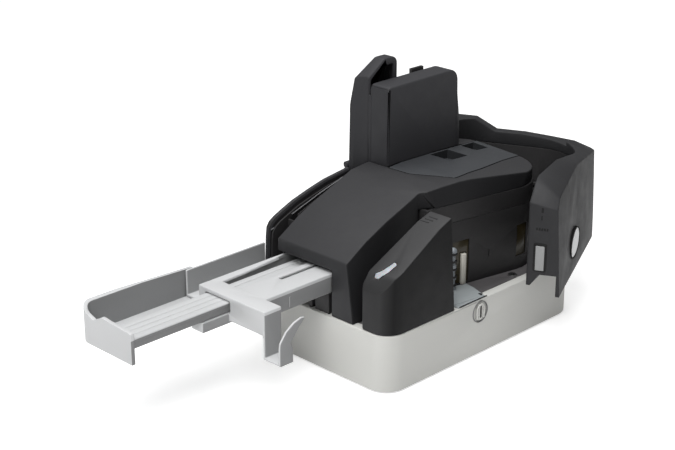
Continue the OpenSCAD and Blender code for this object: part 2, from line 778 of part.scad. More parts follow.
// Hopper
module housing_profile(g) intersection() {
    side_plan([[housing_y0, chassis_z + chassis_t - 2 * g], [housing_y1, chassis_z + chassis_t - 2 * g],
        [housing_y1, top + cover_h + 2], [housing_y1 - 5, top + housing_h - 19],
        [housing_y1 - 5.7, top + housing_h], [housing_y0, top + housing_h]], [0, 0, 0, 20, 8, 3],
        g, left, right);
    slab(chassis_z, top + housing_h) plan([[housing_left, housing_y0], [housing_right, housing_y0],
        [housing_right, housing_y1], [housing_left, housing_y1]], [1, 1.5, 5, 1], g);
}

module inner_housing() color("#303033") difference() {
    housing_profile(0);
    housing_profile(cover_wall);
    block(housing_left - cut, housing_left + cover_wall + cut, pickup_y + 24, pickup_y + 28, top + 60,
        top + 100);
}

post_in = lane_left;
post_foot = channel_left;
post_draft = 7.5;
post_peak_y = post_y0 + 20;
// The front swings back to meet the front of the housing
post_points = [[post_foot, post_y0], [post_in - 6, housing_y0 - 0.7], [post_in, housing_y0 - 0.2],
    [post_in, outer_back], [post_foot, outer_back]];
post_radii = [2.5, 25, 0, 1, 6];
post_rear_h = 112;

// Column of the hopper, with its slanted top and the lower wall behind it
module post_solid(g) intersection() {
    front_profile([[post_foot + g, deck_top - g], [post_in - g, deck_top - g],
        [post_in - g, top + post_h - g], [post_foot + post_draft + g, top + post_h - g],
        [post_foot + 2.5 + g, top + post_knee_h - 18]],
        post_y0 - 2, outer_back);
    side_plan([[post_y0, deck_top - 2 * g], [outer_back, deck_top - 2 * g],
        [outer_back, top + post_rear_h - 8], [post_y1, top + post_rear_h], [post_y1, top + post_h],
        [post_peak_y, top + post_h],
        [post_y0, top + post_knee_h - 1]], [0, 0, 3, 3, 5, 5, 4], g, left, right);
    slab(deck_top - g, top + post_h) plan(post_points, post_radii, g);
}

module outer_post() color("#333335") difference() {
    union() {
        post_solid(0);
        // Lip that closes the lane in front of the housing
        front_profile([[post_in - 1.5, top + channel_end], [lane_right - 0.25, top + channel_end],
            [lane_right - 0.25, top + 100], [post_in, top + post_rear_h],
            [post_in - 1.5, top + post_rear_h]], housing_y0, housing_y0 + 3);
    }
    post_solid(cover_wall);
    // Feed lane below the column, open from the channel to the back
    block(guide_x + guide_t, post_in + cut, post_y0 - cut, outer_back + cut, deck_top - cut, top + 60);
    // Open side behind the column for the pressure plate
    block(channel_left + channel_t + 1, post_in + cut, post_y1 - cover_wall - cut, outer_back + cut,
        deck_top - cut, top + post_rear_h);
    block(channel_left + channel_t + 1, post_in + cut, post_y1, outer_back + cut, top + 90, top + post_h);
    // Opening in the column's inner side, below the slant of its top
    side_profile([[post_y0 + 8, top + post_rear_h], [post_y1 - 4, top + post_rear_h],
        [post_y1 - 4, top + post_h - 5], [post_peak_y - 1, top + post_h - 5],
        [post_y0 + 8, top + post_knee_h]], post_in - cover_wall - cut, post_in + cut);
}

pusher_t = 1.6;
pusher_x = lane_left - 0.5 - pusher_t;
pusher_y0 = post_y1 + 1.5;
pusher_y1 = feed_y - separation_d / 2 - 0.8;
pusher_z = top + 20;
handle_y1 = feed_y - 4;
handle_l = 12;
handle_h = 1.2;
spring_y = (pusher_y0 + pusher_y1) / 2;
spring_z = top + 70;
spring_d = 6;
spring_x0 = post_foot + cover_wall + 1.8;

module pressure_plate() color("#1c1c1e") {
    block(pusher_x, pusher_x + pusher_t, pusher_y0, pusher_y1, pusher_z, pusher_z + pusher_h);
    block(pusher_x - 1, pusher_x + pusher_t, handle_y1 - handle_l, handle_y1, pusher_z + pusher_h - 4,
        top + housing_h + handle_h);
    // Pin inside the spring, which stops the plate at the end of its travel
    translate([pusher_x + cut / 4, spring_y, spring_z]) rotate([0, -90, 0])
        cylinder(h = pusher_x - spring_x0 - pusher_travel - fit + cut / 4, d = 3, $fn = 32);
}

module pressure_spring() color("silver") translate([spring_x0, spring_y, spring_z]) rotate([0, 90, 0])
    difference() {
        cylinder(h = pusher_x - 0.1 - spring_x0, d = spring_d, $fn = 32);
        translate([0, 0, -cut]) cylinder(h = pusher_x - spring_x0 + 2 * cut, d = spring_d - 2, $fn = 32);
    }

// Separation roller in the outer side of the lane
module separation_roller() {
    color("#8a5a30") rod(separation_x, feed_y, roller_z, roller_z + roller_h, separation_d);
    color("silver") rod(separation_x, feed_y, deck_top + 0.3, roller_z + roller_h + 3, shaft_d);
}

// White roller beside the front scan window
module exit_roller() color("#efe6d8") {
    rod(backing_x, backing_y, deck_top + 0.6, deck_top + backing_h, backing_d);
    rod(backing_x, backing_y, deck_z + 0.4, deck_top + 1, backing_shaft);
}

module exit_floor_plate() color("#8a9096") difference() {
    slab(top, exit_plate_t) polygon(exit_points);
    slab(top + 0.3, exit_plate_t) polygon(exit_groove);
    slab(top - cut, exit_plate_t + 2 * cut) polygon(exit_slot);
}

// Post with a domed top that presses the cheques on at the exit
pinch_post_y = core_front - 2.5;
pinch_post_x = core_x(pinch_post_y) + 4.5;
pinch_post_d = 5.6;
pinch_post_h = 27.5;

module exit_pinch_post() color("#9aa0a4") {
    rod(pinch_post_x, pinch_post_y, top + exit_plate_t, top + pinch_post_h, pinch_post_d - 2.2);
    for (z = [exit_plate_t, 8, 16])
        rod(pinch_post_x, pinch_post_y, top + z, top + z + 2.4, pinch_post_d - 0.8);
    translate([pinch_post_x, pinch_post_y, top + pinch_post_h]) intersection() {
        sphere(d = pinch_post_d, $fn = 48);
        translate([0, 0, -cut / 2]) cylinder(h = pinch_post_d, d = pinch_post_d + cut, $fn = 48);
    }
}

// Belt round the motor pulley and the four roller pulleys
belt_t = 1;
belt_w = 3;
belt_run = pulley_d / 2 - 0.9;
belt_points = [[feed_x, pickup_y], [motor_x, motor_y], [drive_right_x, drive_y],
    [drive_left_x, drive_y], [feed_x, feed_y]];
belt_radii = [for (p = belt_points) 0.01];

module drive_belt() color("black") slab(pulley_z + (pulley_t - belt_w) / 2, belt_w)
    ring(belt_points, belt_radii, -belt_run - belt_t, -belt_run);

// Electronics in the tub
module main_board() color("darkgreen") {
    block(board_x0, board_x1, board_y0, board_y1, board_z, board_z + board_t);
    block(-10, 8, -40, -22, board_z + board_t, board_z + 4);
    block(20, 34, -50, -38, board_z + board_t, board_z + 5);
    for (y = [-58, -48]) block(-30, -16, y, y + 5, board_z + board_t, board_z + 8);
}

module power_inlet() color("black") difference() {
    union() {
        translate([inlet_x, back - 0.3, socket_z]) rotate([90, 0, 0])
            cylinder(h = base_wall + 4, d = inlet_d, $fn = 48);
        block(inlet_x - 5.5, inlet_x + 5.5, back - base_wall - 12, back - base_wall - 0.2,
            socket_z - 6, socket_z + 6);
    }
    translate([inlet_x, back, socket_z]) rotate([90, 0, 0]) difference() {
        cylinder(h = 11, d = 6.4, $fn = 48);
        cylinder(h = 12, d = 2, $fn = 32);
    }
}

module data_socket() color("silver") difference() {
    block(usb_x - usb_w / 2, usb_x + usb_w / 2, back - base_wall - 14, back - 0.3,
        socket_z - usb_h / 2, socket_z + usb_h / 2);
    difference() {
        block(usb_x - usb_w / 2 + 1.2, usb_x + usb_w / 2 - 1.2, back - 10, back + cut,
            socket_z - usb_h / 2 + 1.2, socket_z + usb_h / 2 - 1.2);
        block(usb_x - 2.8, usb_x + 2.8, back - 11, back - 1.5, socket_z - 1.6, socket_z + 1.6);
    }
}

// Rocker of the power switch, which tips about a pin behind the wall
module power_switch() color("black") difference() {
    translate([switch_x - switch_w / 2 + 1.6, switch_pivot_y, switch_z]) rotate([90, 0, 90])
        linear_extrude(switch_w - 3.2) polygon([[-3, -6.4], [2.6, -7.4], [4, -4], [3.2, 0],
            [5.2, 6.2], [-3, 6.4]]);
    translate([switch_x - switch_w, switch_pivot_y, switch_z]) rotate([0, 90, 0])
        cylinder(h = 2 * switch_w, d = 2 + 2 * shaft_play, $fn = 48);
}

module switch_frame() color("#1a1a1c") {
    difference() {
        union() {
            block(switch_x - switch_w / 2, switch_x + switch_w / 2, back - base_wall - 9, back,
                switch_z - switch_h / 2, switch_z + switch_h / 2);
            block(switch_x - switch_w / 2 - 1.5, switch_x + switch_w / 2 + 1.5, back, back + 1,
                switch_z - switch_h / 2 - 1.5, switch_z + switch_h / 2 + 1.5);
        }
        block(switch_x - switch_w / 2 + 1.3, switch_x + switch_w / 2 - 1.3, back - base_wall - 7.5,
            back + 2, switch_z - switch_h / 2 + 1.3, switch_z + switch_h / 2 - 1.3);
    }
    translate([switch_x - switch_w / 2, switch_pivot_y, switch_z]) rotate([0, 90, 0])
        cylinder(h = switch_w, d = 2, $fn = 32);
}

// Round knob with a ridge, turned with a coin or a finger
module base_knob() color("gainsboro") difference() {
    union() {
        translate([right - base_wall - 1, knob_y, knob_z]) rotate([0, 90, 0])
            cylinder(h = base_wall, d = knob_d, $fn = 64);
        translate([right - base_wall - cut - collar_t, knob_y, knob_z]) rotate([0, 90, 0])
            cylinder(h = collar_t, d = collar_d, $fn = 64);
        block(right - 1.2, right + 0.4, knob_y - 2, knob_y + 2, knob_z - knob_d / 2 + 1.4,
            knob_z + knob_d / 2 - 1.4);
    }
    block(right - 0.3, right + 1, knob_y - 0.6, knob_y + 0.6, knob_z - knob_d / 2 + 3,
        knob_z + knob_d / 2 - 3);
}

// Hinged cover, drawn shut and then turned to where it stands open
module opened() translate([hinge_x, hinge_y, 0]) rotate([0, 0, open_angle])
    translate([-hinge_x, -hinge_y, 0]) children();

arm_front = pod_back + 0.5;
arm_z = top + cover_play;
guide_wall = 1.8;
guide_back = back - back_t;
arm_left_x = lane_left - 2.2;
arm_left_y = outer_back + 4;
guide_corner_x = core_x(guide_back) + 2;
arm_back = back + 1;
arm_points = [[right - arm_t, arm_front], [right, arm_front], [right, arm_back], [left + 2, arm_back],
    [left + 2, arm_left_y], [arm_left_x, arm_left_y], [arm_left_x, guide_back],
    [guide_corner_x, guide_back]];
arm_corner = 18;
arm_radii = [0, 0, base_r, base_r, 3, 0, arm_corner, core_corner + 4];
// Top of the rear part, seen from behind: the hump beside the hinge and the slope down from it
hump_line = [[left, arm_h + 13], [across(-28), arm_h + 13], [across(-13), arm_h + 5],
    [across(8), arm_h + 5], [across(27), arm_h + 3.5], [across(48), arm_h + 1.5], [right, arm_h - 1.5]];
outer_lean = 3.3;
back_lean = 2.2;
arm_split = across(28);
arm_step = guide_back - 8;

// Right arm, with a top that falls outwards and towards its free end
module arm_top(g) intersection() {
    below([right - 4, 0, top + arm_h + 4 - g], -0.585, 0.08);
    below([right - 4, along(50), top + arm_h + 3.5 - g], -0.34, -0.15);
    below([right - 4, arm_front + 4.7, top + arm_h + 0.35 - g], -0.38, 0.55);
    below([right - 4, arm_front, top + arm_h - 4.7 - g], -0.18, 1.12);
}

module rear_top(g) front_profile(concat([[left, top - 5]],
    [for (p = hump_line) [p[0], top + p[1] - g]], [[right, top - 5]]), guide_back - 60, arm_back);

module arm_solid(g) intersection() {
    slab(arm_z - g * 2, 100) plan(arm_points, arm_radii, g);
    union() {
        intersection() {
            block(left, arm_split + 1, guide_back - 60, arm_back, top - 5, top + 100);
            rear_top(g);
        }
        intersection() {
            block(arm_split, right, arm_step - g, arm_back, top - 5, top + 100);
            rear_top(g);
            arm_top(g);
        }
        intersection() {
            block(arm_split, right, arm_front - cut, arm_step + 0.1 - g, top - 5, top + 100);
            arm_top(g);
        }
    }
    // Draft of the outer wall and of the rear wall
    translate([right - g, 0, arm_z]) rotate([0, -outer_lean, 0]) block(-200, 0, front, arm_back, -20, 120);
    translate([0, arm_back - g, arm_z]) rotate([back_lean, 0, 0]) block(left, right, -200, 0, -20, 120);
}

latch_z = top + 18.3;
latch_x = right - 16.9;
disc_y = along(18.5);
disc_z = top + 21;
disc_l = 27;
disc_h = 20.5;
disc_t = 1.6;
disc_seat = 2.2;
barrel_d = 9;
guide_z = arm_z + 5;
guide_h = arm_h - 10;

strip_x0 = arm_left_x - guide_wall;
strip_x1 = right - 8.3;
strip_y0 = arm_front + cover_wall + fit;
strip_y1 = guide_back + 2.9;

// Strip along the inner side of the hinged cover
module guide_strip(thick, grow) intersection() {
    difference() {
        plan(arm_points, arm_radii, -grow);
        plan(arm_points, arm_radii, thick);
    }
    translate([strip_x0, strip_y0]) square([strip_x1 - strip_x0, strip_y1 - strip_y0]);
}

// Disc of the release button, or with a gap round it its seat in the wall
module button_disc(gap, t) translate([right - disc_t - disc_seat, disc_y, disc_z]) rotate([0, 90, 0])
    scale([disc_h + 2 * gap, disc_l + 2 * gap, 1]) cylinder(h = t, d = 1, $fn = 64);

module track_cover_shell() color("#333437") opened() difference() {
    union() {
        difference() {
            arm_solid(0);
            arm_solid(cover_wall);
            slab(arm_z - cut, guide_z + guide_h + fit - arm_z + cut) guide_strip(cover_wall + 0.1, cut);
        }
        rod(hinge_x, hinge_y, top + boss_h + 0.5, top + arm_h + 12, barrel_d);
        block(hinge_x - 0.8, hinge_x + 0.8, hinge_y, back - 1, top + boss_h + 2, top + arm_h + 12);
    }
    rod(hinge_x, hinge_y, top - 1, top + arm_h + 8, hinge_d + 2 * shaft_play);
    rod(hinge_x, hinge_y, top - 1, top + boss_h + 0.5, barrel_d + 1);
    // Window of the latch in the end face, and the open foot of the arm
    block(latch_x - 0.3, latch_x + latch_w + 0.3, arm_front - 1, arm_front + cover_wall + 1,
        latch_z - 0.3, latch_z + latch_h + 0.3);
    front_profile([[right - arm_t - 1, top - 2], [right - cover_wall - 0.6, top - 2],
        [right - cover_wall - 0.6, top + 15.5], [right - arm_t + 7.7, top + 15.2],
        [right - arm_t + 5, top + 10.7], [right - arm_t + 2.5, top + 7.1], [right - arm_t - 1, top + 7.1]],
        arm_front - 1, arm_front + cover_wall + 1);
    button_disc(0.35, 20);
}

bearing_t = 2;
pin_d = 2.5;

module track_cover_guide() color("#2b2c2f") opened() difference() {
    union() {
        slab(guide_z, guide_h) guide_strip(guide_wall, 0);
        // Bearings of the pinch rollers
        for (x = [drive_left_x, drive_right_x], z = [roller_z - 2 - bearing_t, roller_z + roller_h + 2])
            block(x - 5, x + 5, pinch_y - pin_d / 2 - 1, back - cover_wall - 1.2, z, z + bearing_t);
    }
    for (x = [drive_left_x, drive_right_x]) {
        rod(x, pinch_y, roller_z - 1, roller_z + roller_h + 1, pinch_d + 2);
        rod(x, pinch_y, roller_z - 5, roller_z + roller_h + 5, pin_d + 2 * shaft_play);
    }
}

module pinch_roller(x) opened() {
    color("#4a4a4c") rod(x, pinch_y, roller_z, roller_z + roller_h, pinch_d);
    color("silver") rod(x, pinch_y, roller_z - 4, roller_z + roller_h + 4, pin_d);
}

module pinch_roller_left() pinch_roller(drive_left_x);
module pinch_roller_right() pinch_roller(drive_right_x);

module track_latch() color("white") opened()
    block(latch_x, latch_x + latch_w, arm_front - 0.6, arm_front + 9, latch_z, latch_z + latch_h);

// Disc in the outer wall that is pushed in to draw the latch back
module release_button() color("silver") opened() button_disc(0, disc_t);

module hinge_pin() color("silver") rod(hinge_x, hinge_y, top, top + arm_h + 7, hinge_d);

module hinge_bracket() color("#2b2b2d") difference() {
    union() {
        rod(hinge_x, hinge_y, top, top + boss_h, barrel_d);
        block(hinge_x, hinge_x + 12, hinge_y - 3, hinge_y + 3, top, top + 0.8);
        block(left + rim_w + fit, hinge_x + 12, hinge_y - 3, hinge_y + 3, deck_top, top + 0.8);
    }
    rod(hinge_x, hinge_y, deck_top - cut, top + boss_h + cut, hinge_d + 2 * shaft_play);
}

// Trays
floor_z = top + floor_h;
fence_x = left + 6.4;
bar_y = front - bar_reach;
stacker_z = top + stacker_h;
bar_left = lane_right + 1.4;
bar_right = mouth_right + 13.05;
arm_w = 7;
stem_right = mouth_right - 0.75;
stem_end = front + 28;
stop_y = front + 20;
// Free width between the stacker's arm and its stem, of which this share lies to the left of the rail
free_w = stem_right - bar_left - tray_wall - rail_w;
rail_share = 5.4 / 23.8;
rail_left = bar_left + tray_wall + free_w * rail_share;
rail_right = rail_left + rail_w;
stem_left = rail_right - 5.6;
rail_z = stacker_z - tray_wall - 1.6 - rail_h;
end_y = front - end_reach;
end_x = rail_right + 0.4;
extension_end = front - 55;
tongue = 21;
end_z = top + 9.4;

module feed_tray() color("#c6c8ca") {
    block(fence_x, fence_x + tray_wall, front - rear_fence_reach, front + 5, floor_z - tray_wall,
        top + rear_fence_h);
    block(fence_x, bar_left - 1.2, front - rear_fence_reach, front + 5, floor_z - tray_wall, floor_z);
    block(fence_x, fence_x + 8, front + 3, front + 5, top, floor_z);
}

tray_radius = 10;
fence_t = tray_wall + 0.7;
fence_out = fence_x - 0.8 - fence_t;
fence_fall = 0.045;
extension_points = [[fence_out, end_y], [end_x, end_y], [end_x, extension_end], [fence_out, extension_end]];
extension_radii = [tray_radius, 0, 0, 0];
extension_floor = floor_z - 2 * tray_wall - 0.4;
// Top of the end panel: distance from its right end and drop from the fence's top
end_line = [[-1, 7], [0, 6.5], [0.6, 5], [2.5, 4.3], [21, 3.5], [25, 3], [28, 3], [32, 5.5], [36, 7.2],
    [41, 5.5], [46, 3], [52, 0.8], [60, 0]];
rail_rim = 1.4;

module tray_extension() color("#c6c8ca") {
    // Floor
    slab(extension_floor, tray_wall) difference() {
        plan(extension_points, extension_radii, 0);
        translate([rail_left + 1, extension_end - 200]) square([200, 400]);
    }
    // Fence with its rounded corner and the end panel
    intersection() {
        slab(end_z, top + fence_h - end_z) difference() {
            plan(extension_points, extension_radii, 0);
            plan([[fence_out + fence_t, end_y + fence_t], [end_x + 5, end_y + fence_t],
                [end_x + 5, extension_end + 5], [fence_out + fence_t, extension_end + 5]],
                [tray_radius - fence_t, 0, 0, 0], 0);
        }
        front_profile(concat([[fence_out - 1, end_z - 1], [end_x + 1, end_z - 1]],
            [for (p = end_line) [end_x - p[0], top + fence_h - p[1]]]), end_y - 1, extension_end + 1);
        below([fence_out, end_y + tray_radius, top + fence_h], 0, -fence_fall);
    }
    // Rail with its ridges
    difference() {
        union() {
            block(rail_left, rail_right, end_y + fence_t - 0.5, front + 25, rail_z + rail_h - tray_wall,
                rail_z + rail_h);
            block(rail_left + rail_rim, rail_right - rail_rim, end_y + fence_t - 0.5, front + 25, rail_z,
                rail_z + rail_h - 0.1);
        }
        block(rail_left + rail_rim + tray_wall, rail_right - rail_rim - tray_wall, end_y + fence_t + 2,
            front + 26, rail_z - 1, rail_z + rail_h - tray_wall);
        for (i = [1 : 3])
            block(rail_left + i * rail_w / 4 - 0.4, rail_left + i * rail_w / 4 + 0.4,
                end_y + fence_t + 4, front + 26, rail_z + rail_h - 0.4, rail_z + rail_h + 1);
    }
    // Web between the floor and the rail, in front of the stacker
    block(rail_left - 0.5, rail_left + rail_rim + 0.6, end_y + fence_t - 0.5, bar_y - extension_travel - 1,
        extension_floor, rail_z + 2);
}

hook_x = bar_right - tray_wall;
hook_z = stacker_z - hook_drop;
hook_lip = tray_wall;
hook_l = 10.9;
// Curved end of the pocket's lip: distance from the bar's front and height above the pocket's floor
hook_line = [[0, 0], [0, 11.5], [0.5, 15.2], [5.3, 21.4], [12, 25.6], [17.8, 27.2], [21, 26.6], [15.3, 20.8],
    [11.9, 16.6], [9.3, 13.4], [hook_l, 9], [hook_l, 0]];

module exit_stacker() color("#cdcfd1") difference() {
    union() {
        // Cross bar with its skirt
        difference() {
            block(bar_left, bar_right, bar_y, bar_y + bar_depth, stacker_z - bar_drop, stacker_z);
            block(bar_left + tray_wall, bar_right - tray_wall, bar_y + tray_wall,
                bar_y + bar_depth - tray_wall, stacker_z - bar_drop - 1, stacker_z - tray_wall);
        }
        // Arm along the feed lane
        block(bar_left, bar_left + tray_wall, bar_y + 1, front + 20, stacker_z - bar_drop, stacker_z);
        slab(stacker_z - tray_wall, tray_wall) polygon([[bar_left, bar_y + bar_depth - 1],
            [bar_left + arm_w, bar_y + bar_depth - 1], [bar_left + arm_w - 1, front - 34],
            [bar_left + tray_wall, front + 4], [bar_left, front + 4]]);
        // Stem
        block(stem_left, stem_right, bar_y + bar_depth - 1, stem_end, stacker_z - tray_wall, stacker_z);
        block(stem_right - tray_wall, stem_right, bar_y + bar_depth - 1, stem_end,
            stacker_z - bar_drop + 3, stacker_z);
        block(rail_right + 1, rail_right + 1 + tray_wall, bar_y + bar_depth - 1, stem_end,
            stacker_z - bar_drop + 5, stacker_z);
        // Pocket that catches the cheques
        block(hook_x, bar_right, bar_y, bar_y + bar_depth, hook_z, stacker_z);
        block(hook_x, hook_x + hook_w + tray_wall, bar_y, bar_y + hook_l, hook_z, hook_z + tray_wall);
        side_profile([for (p = hook_line) [bar_y + p[0], hook_z + p[1]]],
            hook_x + hook_w, hook_x + hook_w + hook_lip);
        // Tongue under the rail
        block(rail_left + 10, rail_right, bar_y - tongue, bar_y + bar_depth, rail_z - 7, rail_z - 0.4);
    }
    // Slot for the rail, through both skirts
    block(rail_left - 0.8, rail_right + 0.8, bar_y - cut, bar_y + bar_depth + cut, rail_z - 0.4,
        rail_z + rail_h + 0.6);
    // Slot in the stem
    block(rail_right - 0.6, rail_right + 2.4, stop_y - stacker_travel, stem_end + cut,
        stacker_z - tray_wall - cut, stacker_z + cut);
}

guide_y0 = front + 2;
guide_y1 = core_front - 1;

module tray_guide() color("#2b2b2d") difference() {
    block(rail_left - 2.2, rail_right + 0.6, guide_y0, guide_y1, top, rail_z + 3);
    block(rail_left - 0.6, rail_right + 2, guide_y0 - cut, guide_y1 + cut, rail_z - 0.3, rail_z + 9);
    block(rail_left, rail_right - 2, guide_y0 - cut, guide_y1 + cut, top - cut, rail_z - 2);
}

module stacker_guide() color("#2b2b2d") {
    block(rail_right + 1 + tray_wall + 0.5, stem_right - tray_wall - 0.5, guide_y0, guide_y1,
        top, stacker_z - tray_wall - 0.3);
}

base_tub();
bottom_plate();
bottom_screws();
rubber_feet();
deck();
deck_screws();
core_wall();
core_band();
chassis_plate();
main_cover();
access_panel();
ink_cartridge();
side_pod();
status_lens();
status_board();
channel_wall();
channel_guide();
feed_ramp();
inner_housing();
outer_post();
pressure_plate();
pressure_spring();
feed_roller();
pickup_roller();
separation_roller();
drive_roller_left();
drive_roller_right();
exit_roller();
pinch_roller_left();
pinch_roller_right();
exit_pinch_post();
drive_belt();
main_motor();
motor_pulley();
scan_glass_front();
scan_glass_rear();
scan_sensor_front();
scan_sensor_rear();
magnetic_head();
exit_floor_plate();
main_board();
power_inlet();
data_socket();
power_switch();
switch_frame();
base_knob();
track_cover_shell();
track_cover_guide();
track_latch();
release_button();
hinge_pin();
hinge_bracket();
feed_tray();
tray_extension();
exit_stacker();
tray_guide();
stacker_guide();
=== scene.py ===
import math

import bmesh
import bpy
from mathutils import Matrix, Vector


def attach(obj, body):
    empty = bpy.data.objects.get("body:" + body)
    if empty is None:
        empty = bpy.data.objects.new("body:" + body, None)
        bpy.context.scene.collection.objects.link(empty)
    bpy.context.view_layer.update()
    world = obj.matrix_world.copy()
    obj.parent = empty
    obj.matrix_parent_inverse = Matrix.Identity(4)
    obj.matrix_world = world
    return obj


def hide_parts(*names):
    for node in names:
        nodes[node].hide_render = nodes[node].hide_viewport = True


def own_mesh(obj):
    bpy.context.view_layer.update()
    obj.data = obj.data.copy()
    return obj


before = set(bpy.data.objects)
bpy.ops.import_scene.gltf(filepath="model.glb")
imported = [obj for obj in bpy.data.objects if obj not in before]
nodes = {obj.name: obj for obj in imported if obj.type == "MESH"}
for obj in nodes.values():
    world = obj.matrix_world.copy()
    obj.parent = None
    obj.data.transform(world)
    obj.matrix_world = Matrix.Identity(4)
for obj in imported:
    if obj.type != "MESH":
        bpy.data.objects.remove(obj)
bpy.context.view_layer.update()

MM = 0.001


# Colours

def linear(rgb):
    """Linear colour with full alpha, from sRGB shares."""
    return tuple(c / 12.92 if c <= 0.04045 else ((c + 0.055) / 1.055) ** 2.4 for c in rgb) + (1.0,)


def shade(value, tint=(0, 0, 0)):
    """A grey of 0 to 255 with a small tint, as linear colour."""
    return linear([(value + t) / 255 for t in tint])


# Materials

# The band of values that noise mostly fills
NOISE_BAND = (0.3, 0.7)

# How far a face has turned right or forward where its painted shade starts, and where it is full
SHADE_START, SHADE_FULL = 0.35, 0.85

# Length over which the painted shade ends, in metres
SHADE_END = 0.0001


def new_material(name):
    material = bpy.data.materials.new(name)
    material.use_nodes = True
    return material, material.node_tree, material.node_tree.nodes["Principled BSDF"]


def noise(tree, scale, detail=3.0, rough=0.55, stretch=None):
    place = tree.nodes.new("ShaderNodeTexCoord")
    texture = tree.nodes.new("ShaderNodeTexNoise")
    texture.inputs["Scale"].default_value = scale
    texture.inputs["Detail"].default_value = detail
    texture.inputs["Roughness"].default_value = rough
    source = place.outputs["Object"]
    if stretch:
        mapping = tree.nodes.new("ShaderNodeMapping")
        mapping.inputs["Scale"].default_value = stretch
        tree.links.new(source, mapping.inputs["Vector"])
        source = mapping.outputs["Vector"]
    tree.links.new(source, texture.inputs["Vector"])
    return texture.outputs["Fac"]


def ramp(tree, value, low, high):
    """Noise spread between two colours."""
    node = tree.nodes.new("ShaderNodeValToRGB")
    for element, position, color in zip(node.color_ramp.elements, NOISE_BAND, (low, high)):
        element.position = position
        element.color = color
    tree.links.new(value, node.inputs["Fac"])
    return node.outputs["Color"]


def map_range(tree, value, source=(0.0, 1.0), target=(0.0, 1.0)):
    node = tree.nodes.new("ShaderNodeMapRange")
    for name, number in zip(("From Min", "From Max", "To Min", "To Max"), source + target):
        node.inputs[name].default_value = number
    tree.links.new(value, node.inputs["Value"])
    return node.outputs["Result"]


def remap(tree, value, low, high):
    """Noise spread between two numbers."""
    return map_range(tree, value, NOISE_BAND, (low, high))


def combined(tree, operation, first, second):
    node = tree.nodes.new("ShaderNodeMath")
    node.operation = operation
    tree.links.new(first, node.inputs[0])
    tree.links.new(second, node.inputs[1])
    return node.outputs["Value"]


def bump(tree, shader, height, depth, strength=1.0, soft_edge=0.0):
    """Bump from a height, over edges that are shaded as if rounded by soft_edge metres."""
    node = tree.nodes.new("ShaderNodeBump")
    node.inputs["Distance"].default_value = depth
    node.inputs["Strength"].default_value = strength
    tree.links.new(height, node.inputs["Height"])
    if soft_edge:
        rounded = tree.nodes.new("ShaderNodeBevel")
        rounded.samples = 6
        rounded.inputs["Radius"].default_value = soft_edge
        tree.links.new(rounded.outputs["Normal"], node.inputs["Normal"])
    tree.links.new(node.outputs["Normal"], shader.inputs["Normal"])


def scaled(color, factor):
    return tuple(c * factor for c in color[:3]) + (1.0,)


def painted_facing_shade(tree, shader, color, gloss, side, front, unshaded_above=None):
    """Sets colour and gloss with painted shade: both fall to the share side on faces that look right, and
    to the share front on faces that look forward. Past the last argument's corner (least x, least z) in
    metres none is painted."""
    place = tree.nodes.new("ShaderNodeTexCoord")
    facing = tree.nodes.new("ShaderNodeSeparateXYZ")
    tree.links.new(place.outputs["Normal"], facing.inputs["Vector"])
    # Painted shade: faces that look right or forward get a darker colour and less gloss
    right = map_range(tree, facing.outputs["X"], (SHADE_START, SHADE_FULL), (1.0, side))
    forward = map_range(tree, facing.outputs["Y"], (-SHADE_START, -SHADE_FULL), (1.0, front))
    shade_share = combined(tree, "MULTIPLY", right, forward)
    if unshaded_above:
        spot = tree.nodes.new("ShaderNodeSeparateXYZ")
        tree.links.new(place.outputs["Object"], spot.inputs["Vector"])
        past_x, past_z = (map_range(tree, spot.outputs[axis], (least, least + SHADE_END))
                          for axis, least in zip("XZ", unshaded_above))
        shade_share = combined(tree, "MAXIMUM", shade_share, combined(tree, "MULTIPLY", past_x, past_z))
    scale = tree.nodes.new("ShaderNodeVectorMath")
    scale.operation = "SCALE"
    tree.links.new(color, scale.inputs[0])
    tree.links.new(shade_share, scale.inputs["Scale"])
    tree.links.new(scale.outputs["Vector"], shader.inputs["Base Color"])
    tree.links.new(map_range(tree, shade_share, target=(0.0, gloss)), shader.inputs["Specular IOR Level"])


def moulded(name, color, rough=0.5, vary=0.06, grain=1400.0, depth=0.00004, cloud=22.0, specular=0.4,
            soft_edge=0.0006, side=1.0, front=1.0, unshaded_above=None):
    """Moulded plastic: cloudy colour, a fine etched grain and uneven gloss. The shares side and front,
    and the corner past which none is painted, set painted shade on faces that look right and forward."""
    material, tree, shader = new_material(name)
    clouds = noise(tree, cloud, 4.0)
    body = ramp(tree, clouds, scaled(color, 1 - vary), scaled(color, 1 + vary))
    # Painted shade on faces that look right and forward
    if side < 1 or front < 1:
        painted_facing_shade(tree, shader, body, specular, side, front, unshaded_above)
    else:
        tree.links.new(body, shader.inputs["Base Color"])
        shader.inputs["Specular IOR Level"].default_value = specular
    fine = noise(tree, grain, 2.0)
    gloss = noise(tree, cloud * 4, 5.0, 0.6)
    tree.links.new(remap(tree, gloss, rough - 0.05, rough + 0.07), shader.inputs["Roughness"])
    bump(tree, shader, fine, depth, 0.5, soft_edge)
    return material


def metal(name, color, rough=0.3, stretch=(4.0, 260.0, 260.0), vary=0.08, depth=0.00002):
    """Metal with drawn lines along one axis and slightly uneven gloss."""
    material, tree, shader = new_material(name)
    lines = noise(tree, 12.0, 4.0, 0.6, stretch)
    tree.links.new(
        ramp(tree, lines, scaled(color, 1 - vary), scaled(color, 1 + vary)),
        shader.inputs["Base Color"],
    )
    shader.inputs["Metallic"].default_value = 1.0
    tree.links.new(remap(tree, lines, rough - 0.06, rough + 0.08), shader.inputs["Roughness"])
    bump(tree, shader, lines, depth, 0.4)
    return material


